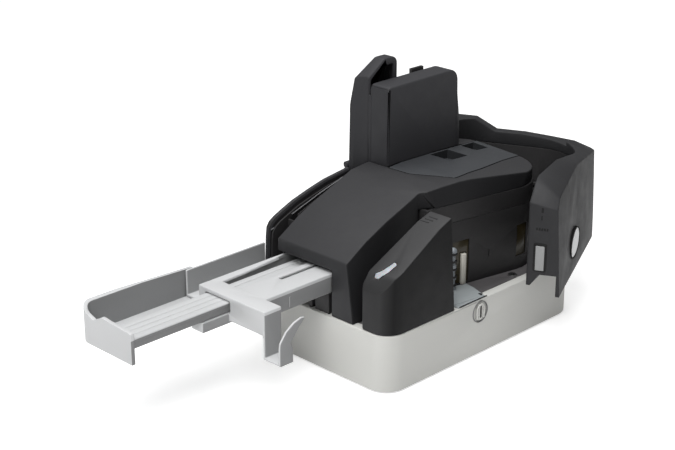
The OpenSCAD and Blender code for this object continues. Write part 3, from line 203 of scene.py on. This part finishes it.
def rubber(name, color, ribs=0.0):
    """Matt rubber with a dusty bloom, and ribs along the roller where asked."""
    material, tree, shader = new_material(name)
    bloom = noise(tree, 90.0, 5.0, 0.65)
    tree.links.new(
        ramp(tree, bloom, scaled(color, 0.8), scaled(color, 1.25)),
        shader.inputs["Base Color"],
    )
    tree.links.new(remap(tree, bloom, 0.72, 0.9), shader.inputs["Roughness"])
    shader.inputs["Specular IOR Level"].default_value = 0.25
    height = noise(tree, 1800.0, 2.0)
    if ribs:
        height = noise(tree, ribs, 1.0, 0.3, (1.0, 1.0, 0.02))
    bump(tree, shader, height, 0.0001, 0.6)
    return material


def tinted_glass(name, color, rough=0.12):
    """Dark tinted scan glass: deep colour under a clear polished face."""
    material, tree, shader = new_material(name)
    depth = noise(tree, 60.0, 2.0)
    tree.links.new(
        ramp(tree, depth, scaled(color, 0.8), scaled(color, 1.2)),
        shader.inputs["Base Color"],
    )
    smear = noise(tree, 140.0, 4.0, 0.6)
    tree.links.new(remap(tree, smear, rough, rough + 0.1), shader.inputs["Roughness"])
    shader.inputs["Coat Weight"].default_value = 0.15
    shader.inputs["Coat Roughness"].default_value = 0.08
    shader.inputs["Specular IOR Level"].default_value = 0.2
    bump(tree, shader, smear, 0.00002, 0.2)
    return material


def milky(name, color):
    """Milky light guide: soft body colour with some light let through."""
    material, tree, shader = new_material(name)
    haze = noise(tree, 160.0, 3.0)
    tree.links.new(
        ramp(tree, haze, scaled(color, 0.94), scaled(color, 1.04)),
        shader.inputs["Base Color"],
    )
    shader.inputs["Subsurface Weight"].default_value = 0.3
    shader.inputs["Subsurface Scale"].default_value = 0.002
    tree.links.new(remap(tree, haze, 0.22, 0.3), shader.inputs["Roughness"])
    bump(tree, shader, haze, 0.00002, 0.2)
    return material


def circuit(name, color):
    """Solder mask with a faint pattern of copper tracks under it."""
    material, tree, shader = new_material(name)
    place = tree.nodes.new("ShaderNodeTexCoord")
    tracks = tree.nodes.new("ShaderNodeTexBrick")
    tracks.inputs["Scale"].default_value = 120.0
    tracks.inputs["Mortar Size"].default_value = 0.03
    tracks.inputs["Color1"].default_value = color
    tracks.inputs["Color2"].default_value = scaled(color, 0.8)
    tracks.inputs["Mortar"].default_value = scaled(color, 1.9)
    tree.links.new(place.outputs["Object"], tracks.inputs["Vector"])
    tree.links.new(tracks.outputs["Color"], shader.inputs["Base Color"])
    shader.inputs["Roughness"].default_value = 0.35
    bump(tree, shader, tracks.outputs["Fac"], 0.00003, 0.4)
    return material


# Places past which the ribs of the rail and of the stacker get no painted side shade
RAIL_X, RAIL_Z = -0.03, 0.0648
BAR_X, BAR_Z = -0.0332, 0.0668

# Materials with side or front below 1 carry painted shade on faces that look right and forward. The charcoal
# materials and the tray materials are copies of one plastic each, made lighter or darker part by part:
# painted light and shade
charcoal = moulded("charcoal", shade(51, (0, 0, 2)), 0.62, 0.05, soft_edge=0.0012, side=0.42, front=0.82)
charcoal_hopper = moulded("charcoal_hopper", shade(56, (0, 0, 3)), 0.62, 0.05, soft_edge=0.0014,
                          side=0.84, front=0.72)
charcoal_pod = moulded("charcoal_pod", shade(60, (0, 0, 1)), 0.6, 0.05, soft_edge=0.0012,
                       side=0.28, front=0.6)
charcoal_arm = moulded("charcoal_arm", shade(46, (0, 0, 2)), 0.62, 0.05, soft_edge=0.0014,
                       side=0.66, front=0.82)
charcoal_panel = moulded("charcoal_panel", shade(62, (0, 2, 5)), 0.55, 0.04, side=0.3, front=0.42)
black = moulded("black", shade(36, (1, 0, 1)), 0.6, 0.08, side=0.85)
deck_black = moulded("deck_black", shade(84, (2, 0, 1)), 0.5, 0.08)
pale = moulded("pale", shade(204, (0, 0, -4)), 0.45, 0.02, grain=1100.0, side=0.93)
tray = moulded("tray", shade(202, (-1, 0, 1)), 0.42, 0.02, grain=1100.0, side=0.46)
tray_rail = moulded("tray_rail", shade(203, (-1, 0, 1)), 0.42, 0.02, grain=1100.0, side=0.4,
                    unshaded_above=(RAIL_X, RAIL_Z))
tray_bar = moulded("tray_bar", shade(204, (-1, 0, 1)), 0.42, 0.02, grain=1100.0, side=0.44,
                   unshaded_above=(BAR_X, BAR_Z))
latch_white = moulded("latch_white", shade(146, (0, 1, 1)), 0.35, 0.02, depth=0.00001)
button_grey = moulded("button_grey", shade(215, (0, 1, 2)), 0.4, 0.03)
pulley_grey = moulded("pulley_grey", shade(120), rough=0.5)
exit_grey = moulded("exit_grey", shade(154, (0, 6, 8)), 0.4, 0.05, depth=0.00001)
cream = moulded("cream", shade(212, (3, 0, -10)), 0.4, 0.03, side=0.7)
satin = moulded("satin", shade(160, (-4, 2, 8)), 0.35, 0.05, depth=0.00001, side=0.6)
rib_brown = moulded("rib_brown", shade(168, (14, 0, -22)), rough=0.6)
leaf_grey = moulded("leaf_grey", shade(120, (0, 0, 2)), rough=0.4)
# Near-black for gaps and holes, and for painted shadow in the disc seat, in the screw crosses and along the
# exit plate
gap_and_shadow_black = moulded("gap_and_shadow_black", shade(14), rough=0.8, vary=0.1)
steel = metal("steel", shade(170))
black_rubber = rubber("black_rubber", shade(38), ribs=700.0)
grey_rubber = rubber("grey_rubber", shade(88, (4, 0, -3)), ribs=700.0)
tan_rubber = rubber("tan_rubber", shade(150, (12, -6, -40)), ribs=700.0)
amber = tinted_glass("amber", shade(38, (6, 0, -16)), rough=0.3)
lens_clear = milky("lens_clear", shade(176, (0, 2, 8)))
board_green = circuit("board_green", shade(50, (-30, 30, -10)))

# What each node is made of, and how far its edges are rounded, in millimetres
FINISH = {
    "base_tub": (pale, 1.0),
    "base_knob": (pale, 0.3),
    "bottom_plate": (steel, 0.2),
    "bottom_screws": (steel, 0.1),
    "rubber_feet": (black_rubber, 0.3),
    "deck": (deck_black, 0.3),
    "deck_screws": (steel, 0.15),
    "core_wall": (black, 0.3),
    "core_band": (black, 0.3),
    "chassis_plate": (steel, 0.2),
    "main_cover": (charcoal, 0.9),
    "access_panel": (charcoal_panel, 0.4),
    "ink_cartridge": (black, 0.5),
    "side_pod": (charcoal_pod, 0.9),
    "status_lens": (lens_clear, 0.2),
    "status_board": (board_green, 0.1),
    "channel_wall": (black, 0.6),
    "channel_guide": (black, 0.4),
    "feed_ramp": (black, 0.3),
    "inner_housing": (charcoal_hopper, 1.4),
    "outer_post": (charcoal_hopper, 1.0),
    "pressure_plate": (black, 0.3),
    "pressure_spring": (steel, 0.1),
    "feed_roller": (black_rubber, 0.3),
    "pickup_roller": (black_rubber, 0.3),
    "separation_roller": (tan_rubber, 0.3),
    "drive_roller_left": (grey_rubber, 0.3),
    "drive_roller_right": (grey_rubber, 0.3),
    "exit_roller": (cream, 0.4),
    "pinch_roller_left": (black_rubber, 0.3),
    "pinch_roller_right": (black_rubber, 0.3),
    "exit_pinch_post": (satin, 0.3),
    "drive_belt": (black_rubber, 0.1),
    "main_motor": (steel, 0.4),
    "motor_pulley": (pulley_grey, 0.2),
    "scan_glass_front": (amber, 0.1),
    "scan_glass_rear": (amber, 0.1),
    "scan_sensor_front": (black, 0.2),
    "scan_sensor_rear": (black, 0.2),
    "magnetic_head": (steel, 0.2),
    "exit_floor_plate": (exit_grey, 0.2),
    "main_board": (board_green, 0.1),
    "power_inlet": (black, 0.3),
    "data_socket": (steel, 0.2),
    "power_switch": (black, 0.3),
    "switch_frame": (black, 0.3),
    "track_cover_shell": (charcoal_arm, 1.0),
    "track_cover_guide": (black, 0.4),
    "track_latch": (latch_white, 0.3),
    "release_button": (button_grey, 0.4),
    "hinge_pin": (steel, 0.2),
    "hinge_bracket": (black, 0.3),
    "feed_tray": (tray, 0.7),
    "tray_extension": (tray_rail, 0.19),
    "exit_stacker": (tray_bar, 0.75),
    "tray_guide": (black, 0.3),
    "stacker_guide": (black, 0.3),
}

# Edges sharper than SHARP are rounded, and faces closer than FLAT count as one plane
SHARP = math.radians(28)
FLAT = math.radians(0.3)

# Nodes whose short edges would hold the rounding back, and which take the full width
FULL_ROUNDING = {"base_tub", "main_cover", "side_pod", "inner_housing", "outer_post", "channel_wall",
                 "feed_tray", "tray_extension", "exit_stacker"}


# Dressing of the carried-over solids

def geometry_group(name):
    """A new geometry node group with its input and output nodes."""
    group = bpy.data.node_groups.new(name, "GeometryNodeTree")
    for direction in ("INPUT", "OUTPUT"):
        group.interface.new_socket("Geometry", in_out=direction, socket_type="NodeSocketGeometry")
    return group, group.nodes.new("NodeGroupInput"), group.nodes.new("NodeGroupOutput")


def join_group():
    """Geometry nodes that join split vertices and drop stored normals."""
    group, start, end = geometry_group("join_vertices")
    merge = group.nodes.new("GeometryNodeMergeByDistance")
    merge.inputs["Distance"].default_value = 0.002 * MM
    drop = group.nodes.new("GeometryNodeRemoveAttribute")
    drop.inputs["Name"].default_value = "custom_normal"
    group.links.new(start.outputs[0], merge.inputs["Geometry"])
    group.links.new(merge.outputs["Geometry"], drop.inputs["Geometry"])
    group.links.new(drop.outputs["Geometry"], end.inputs[0])
    return group


def smooth_group():
    """Geometry nodes that shade smooth, except over edges sharper than SHARP."""
    group, start, end = geometry_group("smooth_shading")
    faces, edges = (group.nodes.new("GeometryNodeSetShadeSmooth") for _ in range(2))
    for node, domain, smooth in ((faces, "FACE", True), (edges, "EDGE", False)):
        node.domain = domain
        node.inputs["Shade Smooth"].default_value = smooth
    angle = group.nodes.new("GeometryNodeInputMeshEdgeAngle")
    compare = group.nodes.new("FunctionNodeCompare")
    compare.data_type = "FLOAT"
    compare.operation = "GREATER_THAN"
    compare.inputs["B"].default_value = SHARP
    group.links.new(angle.outputs["Unsigned Angle"], compare.inputs["A"])
    group.links.new(start.outputs[0], faces.inputs["Geometry"])
    group.links.new(faces.outputs["Geometry"], edges.inputs["Geometry"])
    group.links.new(compare.outputs["Result"], edges.inputs["Selection"])
    group.links.new(edges.outputs["Geometry"], end.inputs[0])
    return group


JOIN = join_group()
SMOOTH = smooth_group()


def add_nodes(obj, name, group):
    obj.modifiers.new(name, "NODES").node_group = group


def round_edges(obj, width):
    edge = obj.modifiers.new("edge", "BEVEL")
    edge.width = width * MM
    edge.segments = 3
    edge.limit_method = "ANGLE"
    edge.angle_limit = SHARP
    return edge


def dress(name, material, rounding):
    """Material, joined vertices, merged flat faces, rounded edges and smooth shading for one node."""
    node = nodes[name]
    node.data.materials.clear()
    node.data.materials.append(material)
    add_nodes(node, "join", JOIN)
    flat = node.modifiers.new("flat", "DECIMATE")
    flat.decimate_type = "DISSOLVE"
    flat.angle_limit = FLAT
    edge = round_edges(node, rounding)
    edge.miter_outer = "MITER_ARC"
    edge.use_clamp_overlap = name not in FULL_ROUNDING
    add_nodes(node, "smooth", SMOOTH)


for name, (material, rounding) in FINISH.items():
    dress(name, material, rounding)


# Pieces built here, with sizes in millimetres

# How the two directions of an outline and its axis turn into x, y and z
UPRIGHT = {"x": lambda u, v, w: (w, u, v), "y": lambda u, v, w: (u, w, v), "z": lambda u, v, w: (u, v, w)}

# The top and the right side of the base
TOP = 40.0
RIGHT = 62.0

# Turns what is drawn with the cover shut to where the open cover has it
HINGE = Vector((-55.5, 78.0, 0.0))
OPEN_ANGLE = math.radians(25.5)
SWING = Matrix.Translation(HINGE) @ Matrix.Rotation(OPEN_ANGLE, 4, "Z") @ Matrix.Translation(-HINGE)


def close_sides(shape, low, high):
    """Faces between two loops of vertices."""
    count = len(low)
    for i in range(count):
        shape.faces.new((low[i], low[(i + 1) % count], high[(i + 1) % count], high[i]))


def extrude(shape, outline, start, end, axis):
    """A solid with this outline, between two heights along an axis."""
    low, high = ([shape.verts.new(UPRIGHT[axis](u, v, w)) for u, v in outline] for w in (start, end))
    shape.faces.new(low)
    shape.faces.new(high)
    close_sides(shape, low, high)


def ring(shape, outer, inner, start, end, axis):
    """A flat ring between two outlines that have the same number of corners."""
    loops = [[shape.verts.new(UPRIGHT[axis](u, v, w)) for u, v in outline]
             for outline in (outer, inner) for w in (start, end)]
    for first, second in ((0, 1), (3, 2), (2, 0), (1, 3)):
        close_sides(shape, loops[first], loops[second])


def bead(shape, points, radius, sides=10):
    """A round bead that follows a path."""
    points = [Vector(p) for p in points]
    rings = []
    side = None
    for i, point in enumerate(points):
        heading = (points[min(i + 1, len(points) - 1)] - points[max(i - 1, 0)]).normalized()
        start = side or (Vector((1, 0, 0)) if abs(heading.x) < 0.9 else Vector((0, 0, 1)))
        side = (start - heading * start.dot(heading)).normalized()
        across = heading.cross(side)
        turns = [2 * math.pi * k / sides for k in range(sides)]
        rings.append([shape.verts.new(point + (side * math.cos(a) + across * math.sin(a)) * radius)
                      for a in turns])
    for low, high in zip(rings, rings[1:]):
        close_sides(shape, low, high)
    shape.faces.new(rings[0])
    shape.faces.new(rings[-1])


def block(low, high):
    return [(low[0], low[1]), (high[0], low[1]), (high[0], high[1]), (low[0], high[1])]


def oval(u, v, half_u, half_v, steps=48):
    return [(u + half_u * math.cos(2 * math.pi * k / steps), v + half_v * math.sin(2 * math.pi * k / steps))
            for k in range(steps)]


def rounded(low, high, radius, steps=5):
    corners = [(high[0] - radius, high[1] - radius, 0), (low[0] + radius, high[1] - radius, 90),
               (low[0] + radius, low[1] + radius, 180), (high[0] - radius, low[1] + radius, 270)]
    return [(u + radius * math.cos(math.radians(turn + 90 * k / steps)),
             v + radius * math.sin(math.radians(turn + 90 * k / steps)))
            for u, v, turn in corners for k in range(steps + 1)]


def piece(name, body, shape, material, rounding=0.0, place=None):
    """An object from a bmesh, with its edges rounded, that rides on a body."""
    bmesh.ops.recalc_face_normals(shape, faces=shape.faces)
    if place:
        bmesh.ops.transform(shape, matrix=place, verts=shape.verts)
    bmesh.ops.scale(shape, vec=(MM, MM, MM), verts=shape.verts)
    mesh = bpy.data.meshes.new(name)
    shape.to_mesh(mesh)
    shape.free()
    mesh.materials.append(material)
    obj = bpy.data.objects.new(name, mesh)
    bpy.context.scene.collection.objects.link(obj)
    if rounding:
        round_edges(obj, rounding)
    add_nodes(obj, "smooth", SMOOTH)
    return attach(obj, body) or obj


# Helical spring behind the pressure plate
SPRING_START, SPRING_END, SPRING_Y, SPRING_Z = -51.2, -40.5, 31.85, 110.0
COIL_TURNS, COIL_STEPS, COIL_RADIUS, WIRE = 6.5, 18, 2.6, 0.32
coil = bmesh.new()
total_steps = int(COIL_TURNS * COIL_STEPS)
bead(coil, [(
    SPRING_START + WIRE + (SPRING_END - SPRING_START - 2 * WIRE) * k / total_steps,
    SPRING_Y + COIL_RADIUS * math.cos(2 * math.pi * k / COIL_STEPS),
    SPRING_Z + COIL_RADIUS * math.sin(2 * math.pi * k / COIL_STEPS),
) for k in range(total_steps + 1)], WIRE, 8)
spring = piece("spring_coil", "chassis", coil, steel)
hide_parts("pressure_spring")
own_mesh(spring)

# Round rim along the top of the feed channel, and the light leaves in it
CHANNEL_FRONT = -89.5
CHANNEL_LINE = [(0, 20), (0.6, 35), (1.4, 41.3), (3.6, 44.5), (7.7, 47.1), (14.7, 50.1), (24.5, 54),
                (38.6, 57.9), (53, 61.3), (75, 64.1)]
RIM_X, RIM_BACK, RIM_DROP, RIM_RADIUS = -53.4, 1.4, 1.2, 1.85
rim = bmesh.new()
bead(rim, [(RIM_X, CHANNEL_FRONT + y + RIM_BACK, TOP + z - RIM_DROP) for y, z in CHANNEL_LINE],
     RIM_RADIUS, 14)
piece("channel_rim", "chassis", rim, charcoal_hopper)

LEAVES = (([(-49.0, -70.1, 86.8), (-49.0, -44.1, 94.9), (-49.0, -22.3, 100.7)], 0.4),
          ([(-51.5, -86.9, 79.5), (-51.5, -76.0, 82.1)], 0.35))
leaf = bmesh.new()
for path, radius in LEAVES:
    bead(leaf, path, radius)
piece("channel_leaves", "chassis", leaf, leaf_grey)

# Marks, slots and the surround of the latch in the end face of the hinged cover
END_Y = -31.3
SLOT_COUNT, SLOT_START, SLOT_W, SLOT_STEP = 5, RIGHT - 17.2, 1.2, 1.7
SLOT_LOW, SLOT_HIGH = TOP + 46.0, TOP + 47.9
SLOT_PROUD, MARK_DEPTH = 0.05, 0.5
# Lower and upper corner, corner radius and how far each mark stands proud
MARKS = (((RIGHT - 14.2, TOP + 58.4), (RIGHT - 12.8, TOP + 61.8), 0.3, 0.05),
         ((RIGHT - 14.1, TOP + 53.2), (RIGHT - 13.4, TOP + 56.4), 0.2, 0.03))
marks = bmesh.new()
for k in range(SLOT_COUNT):
    u = SLOT_START + k * SLOT_STEP
    extrude(marks, block((u, SLOT_LOW), (u + SLOT_W, SLOT_HIGH)), END_Y - SLOT_PROUD, END_Y + MARK_DEPTH, "y")
for low, high, radius, proud in MARKS:
    extrude(marks, rounded(low, high, radius), END_Y - proud, END_Y + MARK_DEPTH, "y")
piece("end_slots", "track_cover", marks, gap_and_shadow_black, 0.04, SWING)

SURROUND_PROUD, SURROUND_DEPTH = 0.15, 0.6
surround = bmesh.new()
ring(surround, rounded((RIGHT - 18.3, TOP + 17.3), (RIGHT - 9.5, TOP + 37.3), 1.4),
     rounded((RIGHT - 17.0, TOP + 18.2), (RIGHT - 10.9, TOP + 35.4), 0.3),
     END_Y - SURROUND_PROUD, END_Y + SURROUND_DEPTH, "y")
piece("latch_surround", "track_cover", surround, gap_and_shadow_black, 0.05, SWING)

# Black ring in the seat round the release disc, wider behind and below it: a painted shadow crescent
DISC_Y, DISC_Z = 18.5, TOP + 21.0
SEAT_Y, SEAT_Z = 19.3, TOP + 20.3
SEAT_DEPTH, SEAT_PROUD = 2.15, 0.04
disc_shadow = bmesh.new()
ring(disc_shadow, oval(SEAT_Y, SEAT_Z, 14.0, 10.8), oval(DISC_Y, DISC_Z, 13.4, 10.2),
     RIGHT - SEAT_DEPTH, RIGHT + SEAT_PROUD, "x")
piece("disc_shadow_ring", "track_cover", disc_shadow, gap_and_shadow_black, 0.03, SWING)

# Domed face of the release disc, from its rim inwards: share of the half widths, and depth
DOME_HALF_Y, DOME_HALF_Z = 13.2, 9.95
DOME_PROFILE = ((1.0, 2.25), (1.0, 0.8), (0.975, 0.42), (0.93, 0.22), (0.85, 0.12), (0.4, 0.06))
dome = bmesh.new()
levels = [[dome.verts.new((RIGHT - depth, y, z))
           for y, z in oval(DISC_Y, DISC_Z, DOME_HALF_Y * share, DOME_HALF_Z * share)]
          for share, depth in DOME_PROFILE]
for low, high in zip(levels, levels[1:]):
    close_sides(dome, low, high)
dome.faces.new(levels[0])
dome.faces.new(levels[-1])
piece("disc_dome", "release_button", dome, button_grey, 0.0, SWING)

# Grey ring filling the groove round the knob, as painted shade of the groove, and the arch with a bar on it
KNOB_Y, KNOB_Z, KNOB_R = -6.3, 31.2, 7.0
GROOVE_OUTER, GROOVE_INNER = KNOB_R + 0.42, KNOB_R - 0.02
GROOVE_DEPTH, GROOVE_PROUD = 0.6, 0.03
groove = bmesh.new()
ring(groove, oval(KNOB_Y, KNOB_Z, GROOVE_OUTER, GROOVE_OUTER),
     oval(KNOB_Y, KNOB_Z, GROOVE_INNER, GROOVE_INNER), RIGHT - GROOVE_DEPTH, RIGHT + GROOVE_PROUD, "x")
piece("knob_groove_shade", "chassis", groove, leaf_grey, 0.02)

ARCH_X, ARCH_R, ARCH_LOW, ARCH_SPRING, ARCH_STEPS = RIGHT + 0.1, 3.3, 26.4, 32.8, 12
BAR_HALF, BAR_LOW, BAR_HIGH, BAR_DEPTH, BAR_PROUD = 0.55, 27.3, 35.1, 0.25, 0.3
arch = bmesh.new()
turns = [math.pi * k / ARCH_STEPS for k in range(ARCH_STEPS + 1)]
arch_path = [(ARCH_X, KNOB_Y - ARCH_R, ARCH_LOW)]
arch_path += [(ARCH_X, KNOB_Y - ARCH_R * math.cos(a), ARCH_SPRING + ARCH_R * math.sin(a)) for a in turns]
arch_path.append((ARCH_X, KNOB_Y + ARCH_R, ARCH_LOW))
bead(arch, arch_path, 0.7)
extrude(arch, block((KNOB_Y - BAR_HALF, BAR_LOW), (KNOB_Y + BAR_HALF, BAR_HIGH)),
        RIGHT - BAR_DEPTH, RIGHT + BAR_PROUD, "x")
piece("knob_arch", "base_knob", arch, pale)

# Cross recesses in the deck screws, drawn as black crosses on the heads: painted shade of the recesses
DECK_SCREWS = ((-43.5, -45.0), (-45.0, 70.0), (50.5, -45.0), (50.5, 40.2))
CROSS_LONG, CROSS_SHORT, CROSS_H = 1.7, 0.35, 0.45
cross = bmesh.new()
for x, y in DECK_SCREWS:
    for half_x, half_y in ((CROSS_LONG, CROSS_SHORT), (CROSS_SHORT, CROSS_LONG)):
        extrude(cross, block((x - half_x, y - half_y), (x + half_x, y + half_y)), TOP, TOP + CROSS_H, "z")
piece("screw_cross_shade", "chassis", cross, gap_and_shadow_black, 0.03)

# Ridges on the pod
RIDGE_Y, RIDGE_Z, RIDGE_STEP, RIDGE_L, RIDGE_PROUD = -46.6, 101.45, 2.4, 6.5, 0.05
POD_SLOPE = 0.4
ridges = bmesh.new()
for k, end_x in enumerate((50.5, 52.0, 53.5)):
    y = RIDGE_Y + RIDGE_STEP * k
    z = RIDGE_Z + POD_SLOPE * RIDGE_STEP * k + RIDGE_PROUD
    bead(ridges, [(end_x - RIDGE_L, y, z), (end_x, y, z)], 0.4, 8)
piece("pod_ridges", "chassis", ridges, charcoal_pod)

# Mark on the stem of the stacker
stem_mark = bmesh.new()
extrude(stem_mark, rounded((-129.6, 57.5), (-128.6, 64.5), 0.3), 10.8, 11.35, "x")
piece("stem_ridge", "exit_stacker", stem_mark, tray, 0.1)

# Strip that closes the front of the hopper between its post and its housing
fill = bmesh.new()
extrude(fill, block((-38.9, -8.85), (-35.9, -7.9)), TOP + 64.5, TOP + 118.0, "z")
piece("hopper_front_fill", "chassis", fill, charcoal_hopper, 0.2)

# Flared foot of the post, over a dark joint
foot = bmesh.new()
extrude(foot, rounded((-57.6, 103.7), (-53.4, 107.8), 1.4), -13.5, -7.0, "y")
piece("post_foot", "chassis", foot, charcoal_hopper, 0.6)
joint = bmesh.new()
extrude(joint, rounded((-56.6, 102.9), (-43.5, 103.6), 0.3), -13.4, -11.0, "y")
piece("post_foot_joint", "chassis", joint, gap_and_shadow_black, 0.1)

# Ribs and pins seen through the opening of the post
RIB_BACK, RIB_FRONT, RIB_T = -49.5, -44.4, 1.2
RIB_COUNT, RIB_LOW, RIB_STEP = 5, 156.5, 3.6
PIN_PLACES = ((5.0, 160.0), (10.4, 164.0), (6.0, 167.5), (11.0, 171.0))
ribs = bmesh.new()
for k in range(RIB_COUNT):
    z = RIB_LOW + RIB_STEP * k
    extrude(ribs, block((RIB_BACK, z), (RIB_FRONT, z + RIB_T)), -1.5, 15.0, "y")
extrude(ribs, block((RIB_BACK, 156.0), (-46.4, 174.0)), 7.6, 8.5, "y")
piece("post_ribs", "chassis", ribs, rib_brown, 0.15)
pins = bmesh.new()
for y, z in PIN_PLACES:
    bead(pins, [(-49.0, y, z), (-45.4, y, z), (-43.6, y, z + 0.3)], 1.0, 12)
piece("post_pins", "chassis", pins, cream, 0.1)

# Dark clips on the post beside the exit roller
POST_X, POST_Y = 38.93, -8.5
CLIP_R, CLIP_BORE_R, CLIP_H = 2.85, 1.55, 1.1
clips = bmesh.new()
for z in (43.6, 49.4, 54.8, 60.2, 65.4):
    ring(clips, oval(POST_X, POST_Y, CLIP_R, CLIP_R, 24), oval(POST_X, POST_Y, CLIP_BORE_R, CLIP_BORE_R, 24),
         z, z + CLIP_H, "z")
piece("exit_post_clips", "chassis", clips, black, 0.1)

# Black line along the edge of the exit plate, painted as the shadow in the gap there, and a black notch
# filling a hole near its tip as painted shade
lines = bmesh.new()
extrude(lines, block((61.15, -27.0), (61.6, 0.4)), TOP + 0.3, TOP + 0.86, "z")
extrude(lines, [(56.2, -2.8), (58.6, -1.2), (58.0, 0.4), (55.8, -0.8)], TOP + 0.6, TOP + 0.84, "z")
piece("exit_edge_shadow", "chassis", lines, gap_and_shadow_black, 0.05)


# Floor, light and camera

FLOOR_GREY, FLOOR_GLOW, AMBIENT = 0.82, 0.55, 0.2
WHITE = (1, 1, 1, 1)


def floor_material():
    """A pale floor that also glows, but only to the camera and in reflections."""
    material = bpy.data.materials.new("floor")
    material.use_nodes = True
    tree = material.node_tree
    tree.nodes.clear()
    diffuse = tree.nodes.new("ShaderNodeBsdfDiffuse")
    diffuse.inputs["Color"].default_value = (FLOOR_GREY, FLOOR_GREY, FLOOR_GREY, 1)
    glow = tree.nodes.new("ShaderNodeEmission")
    glow.inputs["Color"].default_value = WHITE
    path = tree.nodes.new("ShaderNodeLightPath")
    seen = combined(tree, "MAXIMUM", path.outputs["Is Camera Ray"], path.outputs["Is Glossy Ray"])
    tree.links.new(map_range(tree, seen, target=(0.0, FLOOR_GLOW)), glow.inputs["Strength"])
    total = tree.nodes.new("ShaderNodeAddShader")
    out = tree.nodes.new("ShaderNodeOutputMaterial")
    tree.links.new(diffuse.outputs[0], total.inputs[0])
    tree.links.new(glow.outputs[0], total.inputs[1])
    tree.links.new(total.outputs[0], out.inputs["Surface"])
    return material


def flat_square(name, half, height):
    mesh = bpy.data.meshes.new(name)
    corners = [(-half, -half, height), (half, -half, height), (half, half, height), (-half, half, height)]
    mesh.from_pydata(corners, [], [(0, 1, 2, 3)])
    obj = bpy.data.objects.new(name, mesh)
    bpy.context.scene.collection.objects.link(obj)
    return obj


floor = flat_square("floor", 6.0, 0.0)
floor.data.materials.append(floor_material())

world = bpy.data.worlds.new("studio")
bpy.context.scene.world = world
world.use_nodes = True
sky = world.node_tree
background = sky.nodes["Background"]
background.inputs["Color"].default_value = WHITE
light_path = sky.nodes.new("ShaderNodeLightPath")
seen_directly = combined(sky, "MAXIMUM", light_path.outputs["Is Camera Ray"],
                         light_path.outputs["Is Transmission Ray"])
sky.links.new(map_range(sky, seen_directly, target=(AMBIENT, 1.0)), background.inputs["Strength"])

TARGET = Vector((0.0, -0.02, 0.06))


def softbox(name, azimuth, elevation, distance, size, energy):
    """A square lamp that looks at the object; azimuth 0 stands in front of it, on the -Y side."""
    data = bpy.data.lights.new(name, "AREA")
    data.shape = "SQUARE"
    data.size = size
    data.energy = energy
    lamp = bpy.data.objects.new(name, data)
    a, e = math.radians(azimuth), math.radians(elevation)
    away = Vector((math.sin(a) * math.cos(e), -math.cos(a) * math.cos(e), math.sin(e)))
    lamp.location = TARGET + away * distance
    lamp.rotation_mode = "QUATERNION"
    lamp.rotation_quaternion = (-away).to_track_quat("-Z", "Y")
    bpy.context.scene.collection.objects.link(lamp)
    return lamp


softbox("key", 25, 48, 1.5, 0.9, 12)
softbox("front_fill", 50, 18, 1.6, 0.9, 1.5)
softbox("overhead", -20, 82, 1.4, 1.2, 15)

CAMERA_AZIMUTH = math.radians(44.97)
CAMERA_ELEVATION = math.radians(21.417)
CAMERA_PLACE = Vector((653.85, -731.14, 457.30))
SENSOR_WIDTH, FOCAL_LENGTH = 36.0, 83.34
camera_back = Vector((
    math.sin(CAMERA_AZIMUTH) * math.cos(CAMERA_ELEVATION),
    -math.cos(CAMERA_AZIMUTH) * math.cos(CAMERA_ELEVATION),
    math.sin(CAMERA_ELEVATION),
))
camera_data = bpy.data.cameras.new("camera")
camera_data.sensor_width = SENSOR_WIDTH
camera_data.lens = FOCAL_LENGTH
camera_data.clip_start = 0.01
camera = bpy.data.objects.new("camera", camera_data)
camera.location = CAMERA_PLACE * MM
camera.rotation_mode = "QUATERNION"
camera.rotation_quaternion = (-camera_back).to_track_quat("-Z", "Y")
bpy.context.scene.collection.objects.link(camera)
bpy.context.scene.camera = camera
bpy.context.scene.view_settings.view_transform = "Standard"
